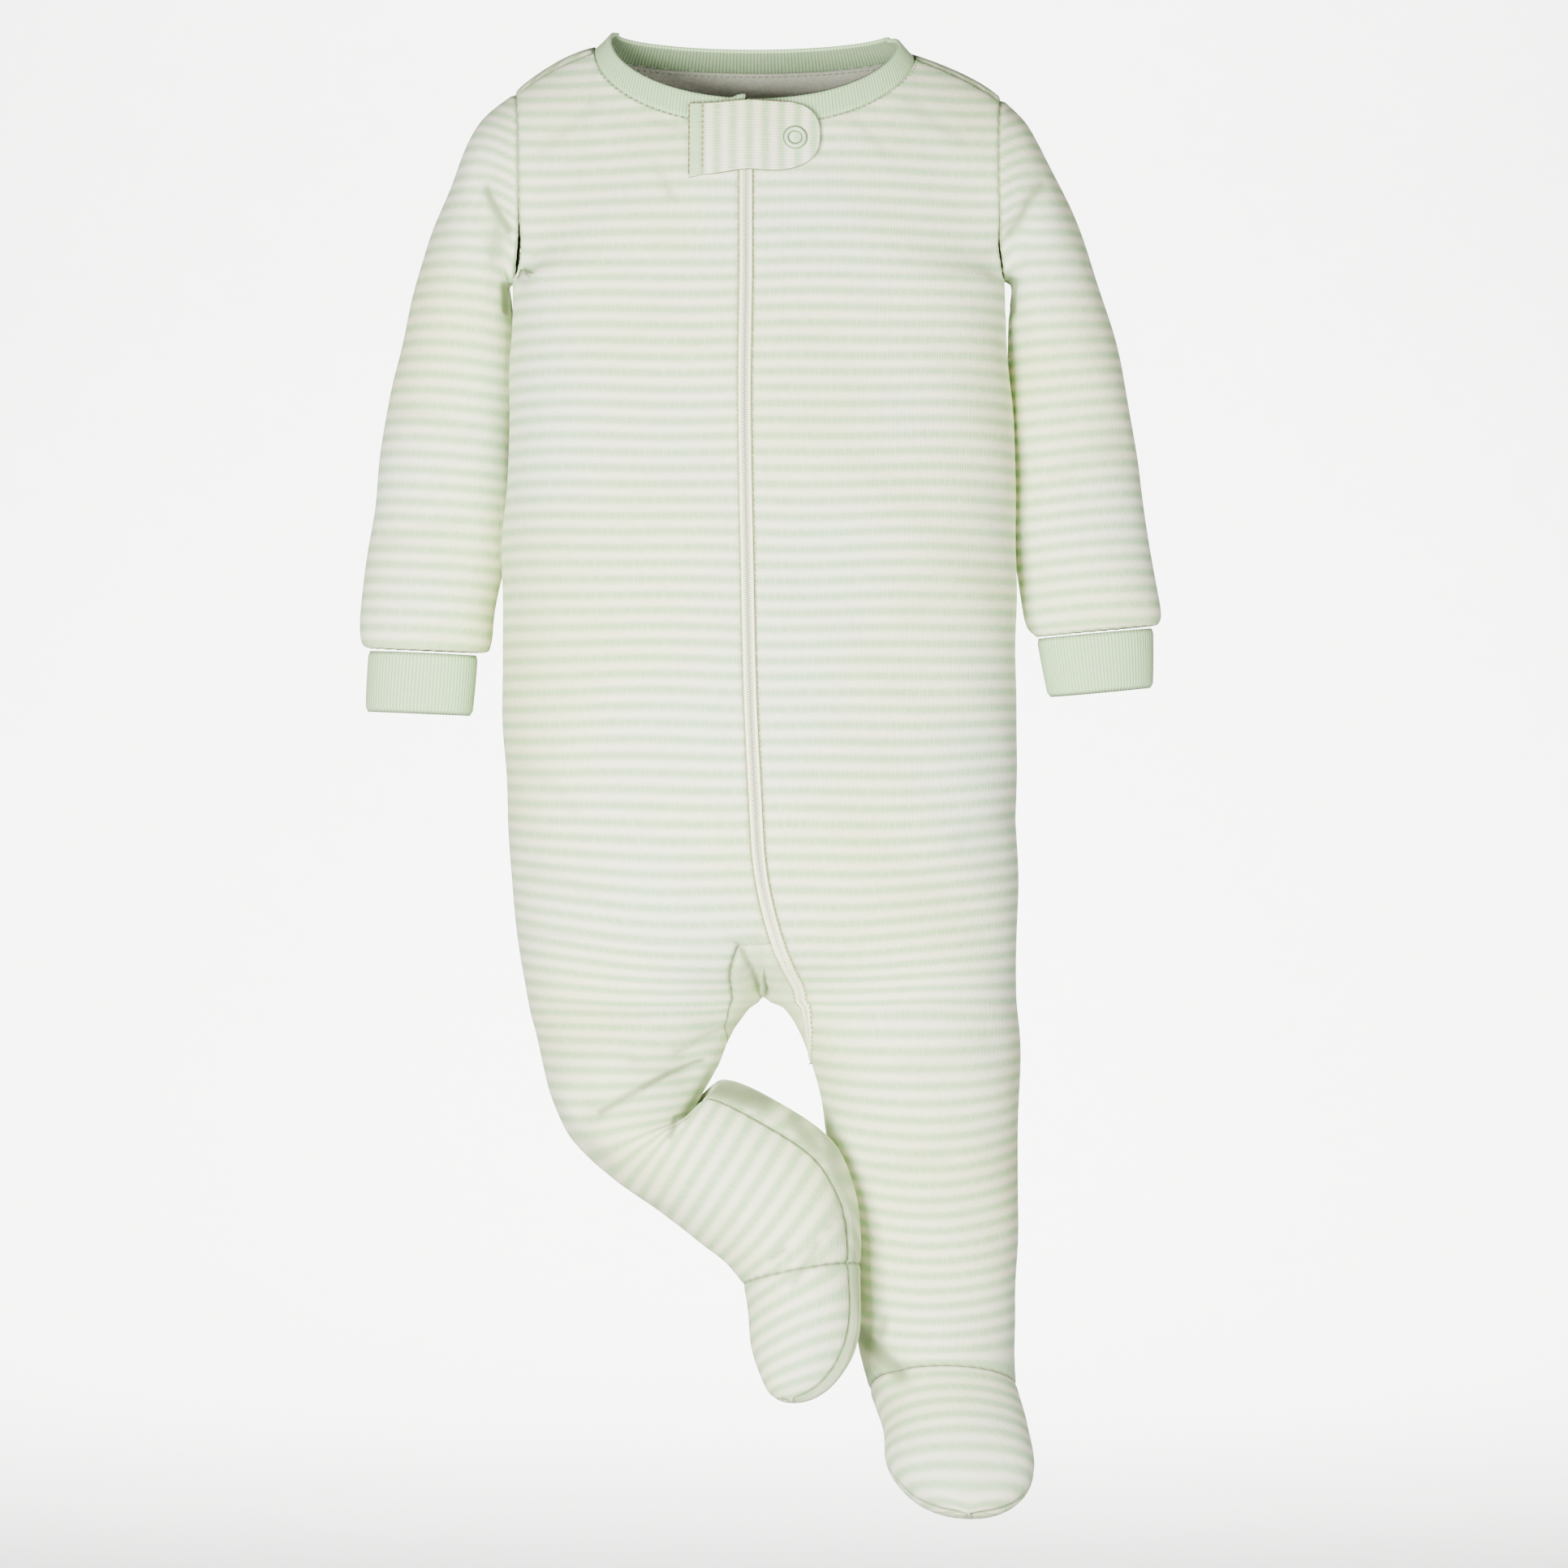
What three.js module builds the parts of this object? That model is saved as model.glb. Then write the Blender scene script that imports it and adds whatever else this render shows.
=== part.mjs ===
// A footed baby sleepsuit in striped cotton jersey, closed by a zip, filled out as if worn.
// Units are millimetres. +Z is up, -Y is the front, and +X is the wearer's left.
// The origin is the middle of the neck opening, level with the tops of the shoulder seams.
import * as THREE from "three";

// Driving dimensions
const seamGap = 0.3; // between two sewn pieces
const jersey = 1.2; // wall of the striped jersey
const rib = 2.0; // wall of the folded rib knit
const tape = 1.0; // wall of a zip tape
const chestHalf = 103; // half of the width at the armpits
const armholeDrop = 97; // from the neck to the armpit
const armholeReach = 24; // half of the armhole's depth, front to back
const collarRise = 8; // height of the closed shoulder line at the middle of the neck
const neckMiddle = -1.7; // the neck opening sits a little to the wearer's right
const neckHalfWidth = 67.5; // the neck seam, half of its width
const neckFrontDrop = 35; // the neck seam below the origin at the front
const neckBackDrop = 7.2; // and at the back
const neckbandWidth = 12;
const zipHalf = 2.7; // half of the width that the two zip tapes show
const zipX = -5.5; // the zip runs a little to the wearer's right of the middle
const shoulderSeam = 0.1; // how far the shoulder seam lies in front of the ridge, as a share of the way down
const halfEllipse = 4 / 3; // Bezier handle that draws half an ellipse
const chestFull = 0.74; // Bezier handle of the chest's quarter section, 0.55 is an ellipse
const deg = Math.PI / 180;

// The tips of the shoulders: how far down, how far in from the armpit, and how steeply the shoulder rises
// from them
const shoulderTip = {
  right: { drop: 19, inward: 0, rise: 23 },
  left: { drop: 21.5, inward: 1.5, rise: 18 },
};

// Rows of a table as objects with named columns
const table = (names, rows) => rows.map((row) => Object.fromEntries(names.map((name, i) => [name, row[i]])));

// The trunk from the armpits to the hips: the heights of the middle and the sides, the x of the zip line and
// of each side seam, the depths to the front and back, how far the middle still reaches them (0 is under the
// crotch),
// and how open (1) or tube-like (0) the half section is
const trunkRows = table(
  ["middleZ", "sideZ", "middleX", "rightX", "leftX", "front", "back", "reach", "open", "full"],
  [
    [-97, -97, -5.5, -103, 103, 46, 43, 1, 1, 0.74],
    [-150, -150, -6, -105, 105.5, 50, 44, 1, 1, 0.72],
    [-212, -212, -5, -107.5, 107.5, 54, 45, 1, 1, 0.7],
    [-275, -275, -3.5, -107.6, 107.5, 57, 48, 1, 1, 0.69],
    [-335, -330, -0.5, -105.4, 107.5, 56, 54, 0.98, 1, 0.67],
    [-378, -370, 1.5, -102, 107.5, 54, 57, 0.7, 0.88, 0.64],
    [-398, -396, 1.5, -97, 108, 50, 52, 0, 0.5, 0.6],
  ],
);

// The legs: each section by its inner and outer edge as seen from the front, its mean depth, how far it swells
// to the front and back, how far the inseam is turned to the front, and how far the section leans back, both
// in degrees
const legColumns = ["innerX", "innerZ", "outerX", "outerZ", "y", "front", "back", "turn", "lean", "open"];
const rightLegRows = table(legColumns, [
  [-4.5, -402.5, -95.2, -404, -3, 40.5, 42, -2, 0, 0.25],
  [-10.5, -411, -93, -412, -7, 41, 41.5, -4, 0, 0.1],
  [-17, -425, -90, -427, -15, 41, 39, -6, 0, 0],
  [-23.5, -436.5, -85.5, -442, -23, 38, 35, -4, 0, 0],
  [-28, -444.5, -78, -455, -29, 35, 30, 6, 0, 0],
  [-23.5, -441.5, -67.5, -464.5, -31, 33, 30, 26, 0, 0],
  [-15.5, -430.5, -52, -476.5, -32, 31, 31, 42, 0, 0],
  [9.5, -441, -34.5, -489, -34, 29, 29, 44, 0, 0],
  [30, -456, -22, -498.5, -37, 27, 27, 42, 0, 0],
  [38.8, -476, -14, -504.5, -39, 25, 25, 36, 0, 0],
  [41, -493, -10, -509, -40, 24, 24, 34, 4, 0],
  [41, -506, -6.6, -514.5, -41, 24, 25, 33, 10, 0],
  [41, -525, -4.8, -525, -43, 23, 24, 32, 18, 0],
  [38.6, -540, -3.6, -539, -48, 19, 20, 30, 24, 0],
  [32, -551.5, 0, -550, -54, 14, 14, 30, 28, 0],
  [23.5, -558, 4.5, -557.5, -58, 8.5, 8.5, 30, 30, 0],
]);
const leftLegRows = table(legColumns, [
  [10, -402, 108.2, -403, -2, 40.5, 42, -2, 0, 0.25],
  [16.4, -411, 108.5, -411, -3, 41, 41.5, -4, 0, 0.1],
  [22, -425, 108.5, -425, -3, 41, 39, -6, 0, 0],
  [25.6, -439, 108.5, -439, -3, 39, 37, -8, 0, 0],
  [28, -455, 108.2, -455, -3, 37, 35, -8, 0, 0],
  [33, -481, 108, -481, -2, 35, 33, -6, 0, 0],
  [38.5, -507, 107.7, -507, -1, 33, 32, -4, 0, 0],
  [40.6, -530, 107, -530, 0, 32.5, 31, 0, 0, 0],
  [41.5, -544, 106.5, -545, -1, 33, 32, 0, 3, 0],
  [46, -560, 107.4, -560, -5, 32.5, 32.5, 0, 22, 0],
  [51, -575, 111, -574, -22, 28.5, 28.5, 0, 27, 0],
  [52.4, -588, 113.3, -588, -40, 23, 23, 0, 31, 0],
  [59.5, -597.5, 110, -598, -52.5, 16.5, 16.5, 0, 35, 0],
  [69.5, -603, 101.5, -603.5, -61.5, 10, 10, 0, 40, 0],
]);
const rightToe = [13, -61, -560.5];
const leftToe = [85.5, -67, -606.4];
const footRows = { right: 4, left: 4 }; // sections of the foot beyond the instep seam

// The sleeves: each section by its upper or outer edge and its inner edge, its mean depth and half of its
// depth
const sleeveColumns = ["outerX", "outerZ", "innerX", "innerZ", "y", "half"];
const rightSleeveRows = table(sleeveColumns, [
  [-118.5, -32.5, -106, -99, 4, 25.5],
  [-131.3, -60, -105.6, -106, 8, 27],
  [-141.2, -87, -105.2, -116, 11, 28],
  [-148.8, -114, -105.4, -132, 13, 27.5],
  [-155, -142, -105.8, -152, 13, 26.5],
  [-160, -174, -106.6, -178, 13, 25],
  [-164.2, -206, -107.8, -206, 12, 23.5],
  [-166.8, -234, -111.4, -236, 10, 21.5],
  [-167, -248, -113.6, -251.5, 9, 19.5],
  [-164.2, -251.5, -118, -253.5, 8, 16],
]);
const leftSleeveRows = table(sleeveColumns, [
  [113, -33, 105.8, -99, 4, 25.5],
  [126.2, -57, 105.6, -106, 8, 27],
  [137.6, -83, 105.2, -116, 11, 28],
  [146.2, -110, 105.4, -132, 13, 27.5],
  [153.4, -138, 105.8, -152, 13, 26.5],
  [159, -170, 106.4, -176, 13, 25],
  [163.2, -202, 107.6, -204, 12, 23.5],
  [167.2, -228, 110.2, -231, 10, 21.5],
  [167.8, -238, 112.2, -242, 9, 19.5],
  [165.2, -242, 116, -246.5, 8, 16],
]);
const cuffColumns = ["outerX", "outerZ", "innerX", "innerZ", "y", "half"];
const rightCuffRows = table(cuffColumns, [
  [-164.4, -252.1, -118.4, -254.1, 8, 15.6],
  [-165.8, -264, -118.6, -268, 8, 15],
  [-164.6, -276, -122, -281, 8, 13],
]);
const leftCuffRows = table(cuffColumns, [
  [165.4, -242.6, 116.4, -247.1, 8, 15.6],
  [165.4, -254, 119.4, -259, 8, 15],
  [164.2, -267.8, 122.2, -271.5, 8, 13],
]);

// The zip below the trunk as seen from the front, and the left edge of the crotch gusset
const zipPath = table(
  ["x", "z"],
  [[-0.2, -338], [2.2, -354], [6.6, -371], [11.6, -384], [16.9, -398], [20.2, -409]],
);
const gussetPath = table(["x", "z"], [[-8.2, -374.5], [-10.6, -381], [-11.6, -391], [-11.8, -401]]);
const zipEndLevel = 10; // where the zip runs out at the left inseam
const gussetEndLevel = 9.5; // where the gusset's other edge meets the right inseam

// The chin guard, the snap on it, and the zip's slider under it
const guard = {
  left: -29,
  right: 24.6,
  middleZ: -42.2,
  halfHeight: 14.8,
  roundFrom: 8,
  wall: 1.6,
  overSlider: 2.2,
  free: 1,
};
const snap = { x: 14.6, z: -42.2, outer: 4.6, inner: 3 };
const slider = { z: -39, width: 6, length: 7 };
const neckDepth = { front: 35, back: 25 };
const neckbandSlope = { side: 33, front: 66, back: 46 }; // degrees up from level

// The largest folds: hollows along a line from one point to another, with their depth and half width
const folds = table(
  ["x1", "y1", "z1", "x2", "y2", "z2", "depth", "width"],
  [
    [-118, -25, -58, -103, -22, -93, 5, 9],
    [121, -25, -60, 106, -22, -86, 4, 8],
    [-12, -30, -410, -48, -50, -420, 3, 7],
    [-26, -45, -424, -70, -52, -441, 3.5, 8],
    [-5, -28, -384, 2, -8, -396, 1.5, 5],
    [22, -52, -348, 22, -42, -374, 1.2, 7],
  ],
);

const point = (x, y, z) => new THREE.Vector3(x, y, z);
const mix = (a, b, share) => a + (b - a) * share;

// A point on a cubic Bezier curve
function bezier([a, b, c, d], u) {
  const w = 1 - u;
  return point(0, 0, 0)
    .addScaledVector(a, w * w * w)
    .addScaledVector(b, 3 * w * w * u)
    .addScaledVector(c, 3 * w * u * u)
    .addScaledVector(d, u * u * u);
}

// A smooth curve through knots at unevenly spaced places
function through(knots, values, at) {
  const last = knots.length - 1;
  let i = 0;
  while (i < last - 1 && at > knots[i + 1]) i += 1;
  const slope = (k) => {
    const low = Math.max(k - 1, 0);
    const high = Math.min(k + 1, last);
    return values[high].clone().sub(values[low]).divideScalar(knots[high] - knots[low]);
  };
  const width = knots[i + 1] - knots[i];
  const t = (at - knots[i]) / width;
  const t2 = t * t;
  const t3 = t2 * t;
  return values[i]
    .clone()
    .multiplyScalar(2 * t3 - 3 * t2 + 1)
    .addScaledVector(slope(i), (t3 - 2 * t2 + t) * width)
    .addScaledVector(values[i + 1], 3 * t2 - 2 * t3)
    .addScaledVector(slope(i + 1), (t3 - t2) * width);
}

// The armhole, a flat oval: share 0 is the tip of the shoulder and 1 the armpit, forward is -1 to the front
function armhole(side, share, forward) {
  const tip = side < 0 ? shoulderTip.right : shoulderTip.left;
  const middle = (tip.drop + armholeDrop) / 2;
  const half = (armholeDrop - tip.drop) / 2;
  const bow = 2.5 * Math.sin(Math.PI * share) + (1 - share) * tip.inward;
  return point(
    side * (chestHalf - bow),
    forward * armholeReach * Math.sin(Math.PI * share),
    -middle + half * Math.cos(Math.PI * share),
  );
}

// The four handles of a half section above the armpits: share 0 is the shoulder line, 1 the armpit row
function yokeHandles(side, forward, share) {
  const depth = forward < 0 ? trunkRows[0].front : trunkRows[0].back;
  const swing = (Math.PI / 2) * share;
  const drop = 1 - Math.cos(swing);
  const fall = (x, ridge) =>
    point(x, forward * depth * Math.sin(swing), ridge - (ridge + armholeDrop) * drop);
  const handle = side * chestHalf * chestFull;
  const first = fall(zipX, collarRise);
  const second = fall(mix(side * 40, zipX + handle, share), collarRise - 1);
  const last = armhole(side, share, forward);
  const tip = side < 0 ? shoulderTip.right : shoulderTip.left;
  const inward = point(-side * mix(18, 0, share ** 6), 0, mix(tip.rise, 0, Math.min(1, 1.6 * share)));
  inward.y = forward * (depth * chestFull * share ** 5 + 3 * Math.sin(Math.PI * share));
  return [first, second, last.clone().add(inward), last];
}

function trunkHandles(row, side, forward) {
  const depth = forward < 0 ? row.front : row.back;
  const edgeX = side < 0 ? row.rightX : row.leftX;
  const first = point(row.middleX, forward * depth * row.reach, row.middleZ);
  const last = point(edgeX, 0, row.sideZ);
  const across = (edgeX - row.middleX) * row.full;
  const open = [
    point(row.middleX + across, forward * depth, row.middleZ),
    point(edgeX, forward * depth * row.full, row.sideZ),
  ];
  const swell = forward * halfEllipse * depth;
  const tube = [point(row.middleX, swell, row.middleZ), point(edgeX, swell, row.sideZ)];
  return [first, tube[0].lerp(open[0], row.open), tube[1].lerp(open[1], row.open), last];
}

function legHandles(row, side, forward) {
  const depth = forward < 0 ? row.front : row.back;
  const inner = point(row.innerX, row.y, row.innerZ);
  const outer = point(row.outerX, row.y, row.outerZ);
  const middle = inner.clone().add(outer).multiplyScalar(0.5);
  const across = inner.clone().sub(middle);
  const level = point(0, -1, 0);
  const up = across.clone().normalize().cross(level).multiplyScalar(side);
  const ahead = level.multiplyScalar(Math.cos(row.lean * deg)).addScaledVector(up, Math.sin(row.lean * deg));
  const turn = row.turn * deg;
  const mean = (row.front + row.back) / 2;
  const seam = across.clone().multiplyScalar(Math.cos(turn)).addScaledVector(ahead, mean * Math.sin(turn));
  const swell = ahead.multiplyScalar(mean * Math.cos(turn)).addScaledVector(across, -Math.sin(turn));
  const first = middle.clone().add(seam);
  const last = middle.clone().sub(seam);
  const handle = swell.multiplyScalar((-forward * halfEllipse * depth) / mean);
  const spread = last.clone().sub(first).multiplyScalar(row.open * 0.6);
  return [first, first.clone().add(handle).add(spread), last.clone().add(handle), last];
}

// One half of the body's front or back as rows of handles, from just above the armpits to the toe
function bodyHalf(side, forward) {
  const legRows = side < 0 ? rightLegRows : leftLegRows;
  const toe = point(...(side < 0 ? rightToe : leftToe));
  const trunk = trunkRows.map((row) => trunkHandles(row, side, forward));
  const rows = [
    trunk[0].map((handle) => handle.clone().add(point(0, 0, 20))),
    ...trunk,
    ...legRows.map((row) => legHandles(row, side, forward)),
    [toe, toe, toe, toe],
  ];
  const knots = [0];
  for (let i = 1; i < rows.length; i += 1) {
    const step = rows[i].reduce((sum, handle, k) => sum + handle.distanceTo(rows[i - 1][k]), 0) / 4;
    knots.push(knots[i - 1] + step);
  }
  return { side, forward, rows, knots };
}

const halves = {
  front: { right: bodyHalf(-1, -1), left: bodyHalf(1, -1) },
  back: { right: bodyHalf(-1, 1), left: bodyHalf(1, 1) },
};
const toeLevel = { right: halves.front.right.rows.length - 1, left: halves.front.left.rows.length - 1 };
const instepLevel = { right: toeLevel.right - 1 - footRows.right, left: toeLevel.left - 1 - footRows.left };
const crotchLevel = trunkRows.length;

// A point of one half: across runs from the middle line or inseam (0) to the side (1). Level 0 is the shoulder
// line,
// 1 the armpit row, and each whole number after it a row of the tables.
function halfPoint(half, across, level) {
  if (level <= 1) return bezier(yokeHandles(half.side, half.forward, Math.max(level, 0)), across);
  const i = Math.min(Math.floor(level), half.knots.length - 2);
  const at = mix(half.knots[i], half.knots[i + 1], level - i);
  const handles = [0, 1, 2, 3].map((k) => through(half.knots, half.rows.map((row) => row[k]), at));
  return bezier(handles, across);
}

// The whole front or back: across runs from -1 at the wearer's right side to 1 at the left
const bodyPoint = (face, across, level) =>
  halfPoint(across < 0 ? halves[face].right : halves[face].left, Math.abs(across), level);

// Finds where the front view's (x, z) lies on the front
function locate(x, z, across, level) {
  const step = 1e-3;
  for (let round = 0; round < 30; round += 1) {
    const here = bodyPoint("front", across, level);
    const toSide = bodyPoint("front", across + step, level).sub(here).divideScalar(step);
    const down = bodyPoint("front", across, level + step).sub(here).divideScalar(step);
    const dx = x - here.x;
    const dz = z - here.z;
    const area = toSide.x * down.z - down.x * toSide.z;
    const moveAcross = (dx * down.z - down.x * dz) / area;
    const moveLevel = (toSide.x * dz - dx * toSide.z) / area;
    across += Math.max(-0.1, Math.min(0.1, moveAcross));
    level += Math.max(-0.3, Math.min(0.3, moveLevel));
    if (Math.abs(dx) + Math.abs(dz) < 1e-4) break;
  }
  return { across, level };
}

// The outward normal of a surface from its neighbours, or null where the surface closes to a point
function normalOf(surface, a, b, outward) {
  const step = 2e-3;
  const along = surface(a + step, b).sub(surface(a - step, b));
  const down = surface(a, b + step).sub(surface(a, b - step));
  const normal = along.cross(down).multiplyScalar(outward);
  return normal.length() < 1e-7 ? null : normal.normalize();
}

// A sheet collects patches of points; points that coincide are shared
const placeKey = (place) => [place.x, place.y, place.z].map((value) => Math.round(value * 1e3)).join(",");
const newSheet = () => ({ points: [], normals: [], faces: [], byPlace: new Map() });

function vertexOf(sheet, place, normal) {
  const key = placeKey(place);
  if (!sheet.byPlace.has(key)) {
    sheet.byPlace.set(key, sheet.points.length);
    sheet.points.push(place.clone());
    sheet.normals.push(point(0, 0, 0));
  }
  const vertex = sheet.byPlace.get(key);
  if (normal) sheet.normals[vertex].add(normal);
  return vertex;
}

const flatNormal = (a, b, c) => b.clone().sub(a).cross(c.clone().sub(a));

// Adds rows of {place, normal} to a sheet, with its faces turned the way that the normals point
function addPatch(sheet, rows) {
  const grid = rows.map((row) => row.map(({ place, normal }) => vertexOf(sheet, place, normal)));
  let agree = 0;
  rows.slice(0, -1).forEach((row, i) => row.slice(0, -1).forEach((here, j) => {
    const facing = flatNormal(here.place, rows[i + 1][j].place, rows[i + 1][j + 1].place);
    if (here.normal) agree += facing.dot(here.normal);
  }));
  const addFace = (a, b, c) => {
    if (a !== b && b !== c && a !== c) sheet.faces.push(agree > 0 ? [a, b, c] : [a, c, b]);
  };
  for (let i = 0; i + 1 < grid.length; i += 1) {
    for (let j = 0; j + 1 < grid[i].length; j += 1) {
      addFace(grid[i][j], grid[i + 1][j], grid[i + 1][j + 1]);
      addFace(grid[i][j], grid[i + 1][j + 1], grid[i][j + 1]);
    }
  }
}

// Gives points without a normal the mean of their faces' normals, and makes every normal one long
function settleNormals(sheet) {
  const bare = sheet.normals.map((normal) => normal.length() < 1e-6);
  for (const face of sheet.faces) {
    const facing = flatNormal(...face.map((vertex) => sheet.points[vertex])).normalize();
    for (const vertex of face) if (bare[vertex]) sheet.normals[vertex].add(facing);
  }
  sheet.normals.forEach((normal) => normal.normalize());
}

// Boundary half-edges of the sheet, as a map from each vertex to the next
function boundaryOf(sheet) {
  const edges = new Map();
  for (const [a, b, c] of sheet.faces) {
    for (const [from, to] of [[a, b], [b, c], [c, a]]) edges.set(from + ">" + to, [from, to]);
  }
  const loop = new Map();
  for (const [from, to] of edges.values()) if (!edges.has(to + ">" + from)) loop.set(from, to);
  return loop;
}

// How deep the folds are at a place
function foldDepth(place) {
  return folds.reduce((sum, { x1, y1, z1, x2, y2, z2, depth, width }) => {
    const fold = new THREE.Line3(point(x1, y1, z1), point(x2, y2, z2));
    const away = fold.closestPointToPoint(place, true, point(0, 0, 0)).distanceTo(place) / width;
    return sum + depth * Math.exp(-away * away);
  }, 0);
}

// Gives sheets that are sewn together one normal along their seams, so that their walls meet squarely
function shareSeams(sheets) {
  const shared = new Map();
  const edges = sheets.map((sheet) => {
    settleNormals(sheet);
    const edge = [...boundaryOf(sheet).keys()];
    return edge.map((vertex) => [placeKey(sheet.points[vertex]), sheet.normals[vertex]]);
  });
  for (const [key, normal] of edges.flat()) shared.set(key, (shared.get(key) || point(0, 0, 0)).add(normal));
  for (const [key, normal] of edges.flat()) normal.copy(shared.get(key)).normalize();
}

// Draws the sewn edges in by half a seam gap, moves the sheet out by lift, presses the folds in, and adds a
// wall
function thicken(sheet, wall, lift = () => 0) {
  const next = boundaryOf(sheet);
  const before = new Map([...next].map(([from, to]) => [to, from]));
  const outer = sheet.points.map((place) => place.clone());
  for (const [vertex, after] of next) {
    const along = sheet.points[after].clone().sub(sheet.points[before.get(vertex)]).normalize();
    outer[vertex].addScaledVector(sheet.normals[vertex].clone().cross(along).normalize(), seamGap / 2);
  }
  outer.forEach((place, vertex) => {
    const start = sheet.points[vertex];
    place.addScaledVector(sheet.normals[vertex], lift(start) - foldDepth(start));
  });
  const inner = outer.map((place, vertex) => place.clone().addScaledVector(sheet.normals[vertex], -wall));
  const count = outer.length;
  const index = [];
  for (const [a, b, c] of sheet.faces) index.push(a, b, c, count + a, count + c, count + b);
  for (const [from, to] of next) {
    // The same diagonal on both sides of a seam
    if (placeKey(sheet.points[from]) < placeKey(sheet.points[to])) {
      index.push(to, from, count + from, to, count + from, count + to);
    } else {
      index.push(to, from, count + to, from, count + from, count + to);
    }
  }
  return solid([...outer, ...inner], index);
}

function solid(places, index) {
  const geometry = new THREE.BufferGeometry();
  const corners = places.flatMap((place) => place.toArray());
  geometry.setAttribute("position", new THREE.Float32BufferAttribute(corners, 3));
  geometry.setIndex(index);
  geometry.computeVertexNormals();
  return geometry;
}

// Even steps from one value to another
const steps = (from, to, count) => Array.from({ length: count + 1 }, (_, i) => mix(from, to, i / count));

// Each surface as a function of across and level, with the side that its normals point to
const surfaceOf = (place, outward) => ({ place, outward });
const front = surfaceOf((across, level) => bodyPoint("front", across, level), -1);
const back = surfaceOf((across, level) => bodyPoint("back", across, level), 1);
const legSurface = (face, name, side) => {
  const place = (across, level) => halfPoint(halves[face][name], side * across, level);
  return surfaceOf(place, face === "front" ? -1 : 1);
};
const legs = {
  front: { right: legSurface("front", "right", -1), left: legSurface("front", "left", 1) },
  back: { right: legSurface("back", "right", -1), left: legSurface("back", "left", 1) },
};

// The sleeves and cuffs as tubes: around is the share of the way from the top (0) to the underarm (1), negative
// at
// the front; along counts the rows of the table, and row 0 is the armhole
function tubeSurface(rows, first) {
  const rings = (around) => rows.map((row) => ringPoint(row, around));
  const whole = (around) => (first ? [first(around), ...rings(around)] : rings(around));
  const middle = whole(0.5);
  const knots = middle.reduce(
    (list, place, i) => [...list, i ? list[i - 1] + place.distanceTo(middle[i - 1]) : 0],
    [],
  );
  return (around, along) => {
    const i = Math.max(0, Math.min(Math.floor(along), knots.length - 2));
    return through(knots, whole(around), mix(knots[i], knots[i + 1], along - i));
  };
}

function ringPoint(row, around) {
  const swing = Math.cos(Math.PI * around);
  const share = (1 - swing) / 2;
  const y = row.y + row.half * Math.sin(Math.PI * around);
  return point(mix(row.outerX, row.innerX, share), y, mix(row.outerZ, row.innerZ, share));
}

const armholeAround = (side) => (around) => armhole(side, Math.abs(around), Math.sign(around));
const tubes = {
  right: surfaceOf(tubeSurface(rightSleeveRows, armholeAround(-1)), 1),
  left: surfaceOf(tubeSurface(leftSleeveRows, armholeAround(1)), -1),
};
const cuffTubes = {
  right: surfaceOf(tubeSurface(rightCuffRows), 1),
  left: surfaceOf(tubeSurface(leftCuffRows), -1),
};

const normalAt = (surface, across, level) => normalOf(surface.place, across, level, surface.outward);
const spot = (surface, across, level) => ({
  place: surface.place(across, level),
  normal: normalAt(surface, across, level),
});

// How far across the front a distance in millimetres is when it is measured square to a line with this slope
function acrossFor(surface, distance, across, level, slope = 0) {
  const step = 1e-3;
  const here = surface.place(across, level);
  const toSide = surface.place(across + step, level).sub(here).divideScalar(step);
  const down = surface.place(across + slope * step, level + step).sub(here).divideScalar(step);
  return (distance * down.length()) / toSide.cross(down).length();
}

const insideNeck = (face, across, level) => {
  const drop = face === "front" ? neckFrontDrop : neckBackDrop;
  const place = bodyPoint(face, across, level);
  return ((place.x - neckMiddle) / neckHalfWidth) ** 2 + (place.z / drop) ** 2 < 1;
};

// Halves an interval until it closes on the place where the test turns from true to false
function turning(test, low, high) {
  for (let round = 0; round < 30; round += 1) {
    const middle = (low + high) / 2;
    if (test(middle)) low = middle;
    else high = middle;
  }
  return (low + high) / 2;
}

// The neck seam: its level in a column, and its column on each side at a level near the shoulder line
const neckLevel = (face, across) => turning((level) => insideNeck(face, across, level), 0, 0.9);
const neckColumn = (face, side, level) => turning((across) => insideNeck(face, side * across, level), 0.2, 1);

// The zip's middle line, and its two edges: marks of across and level, straight between
const locatedZip = zipPath.map(({ x, z }, i) => locate(x, z, 0.02 + 0.02 * i, 5 + 0.4 * i));
const zipMarks = [
  { across: 0, level: 0 },
  { across: 0, level: 4.7 },
  ...locatedZip,
  { across: 0.085, level: 9.5 },
  { across: 0.022, level: zipEndLevel },
];
const gussetMarks = [
  ...gussetPath.map(({ x, z }, i) => locate(x, z, -0.08 - 0.02 * i, 5.9 + 0.4 * i)),
  { across: -0.09, level: 9 },
  { across: 0, level: gussetEndLevel },
];

function onMarks(marks, level) {
  const found = marks.findIndex((mark) => mark.level >= level);
  const k = Math.max(1, found < 0 ? marks.length - 1 : found);
  const slope = (marks[k].across - marks[k - 1].across) / (marks[k].level - marks[k - 1].level);
  return { across: marks[k - 1].across + slope * (level - marks[k - 1].level), slope };
}

// Place across the front of a line beside the zip, offset in millimetres to the wearer's left
function besideZip(level, offset) {
  const { across, slope } = onMarks(zipMarks, level);
  const surface = level > crotchLevel ? legs.front.left : front;
  const moved = across + Math.sign(offset) * acrossFor(surface, Math.abs(offset), across, level, slope);
  return level > crotchLevel ? Math.max(0, moved) : moved;
}

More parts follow.
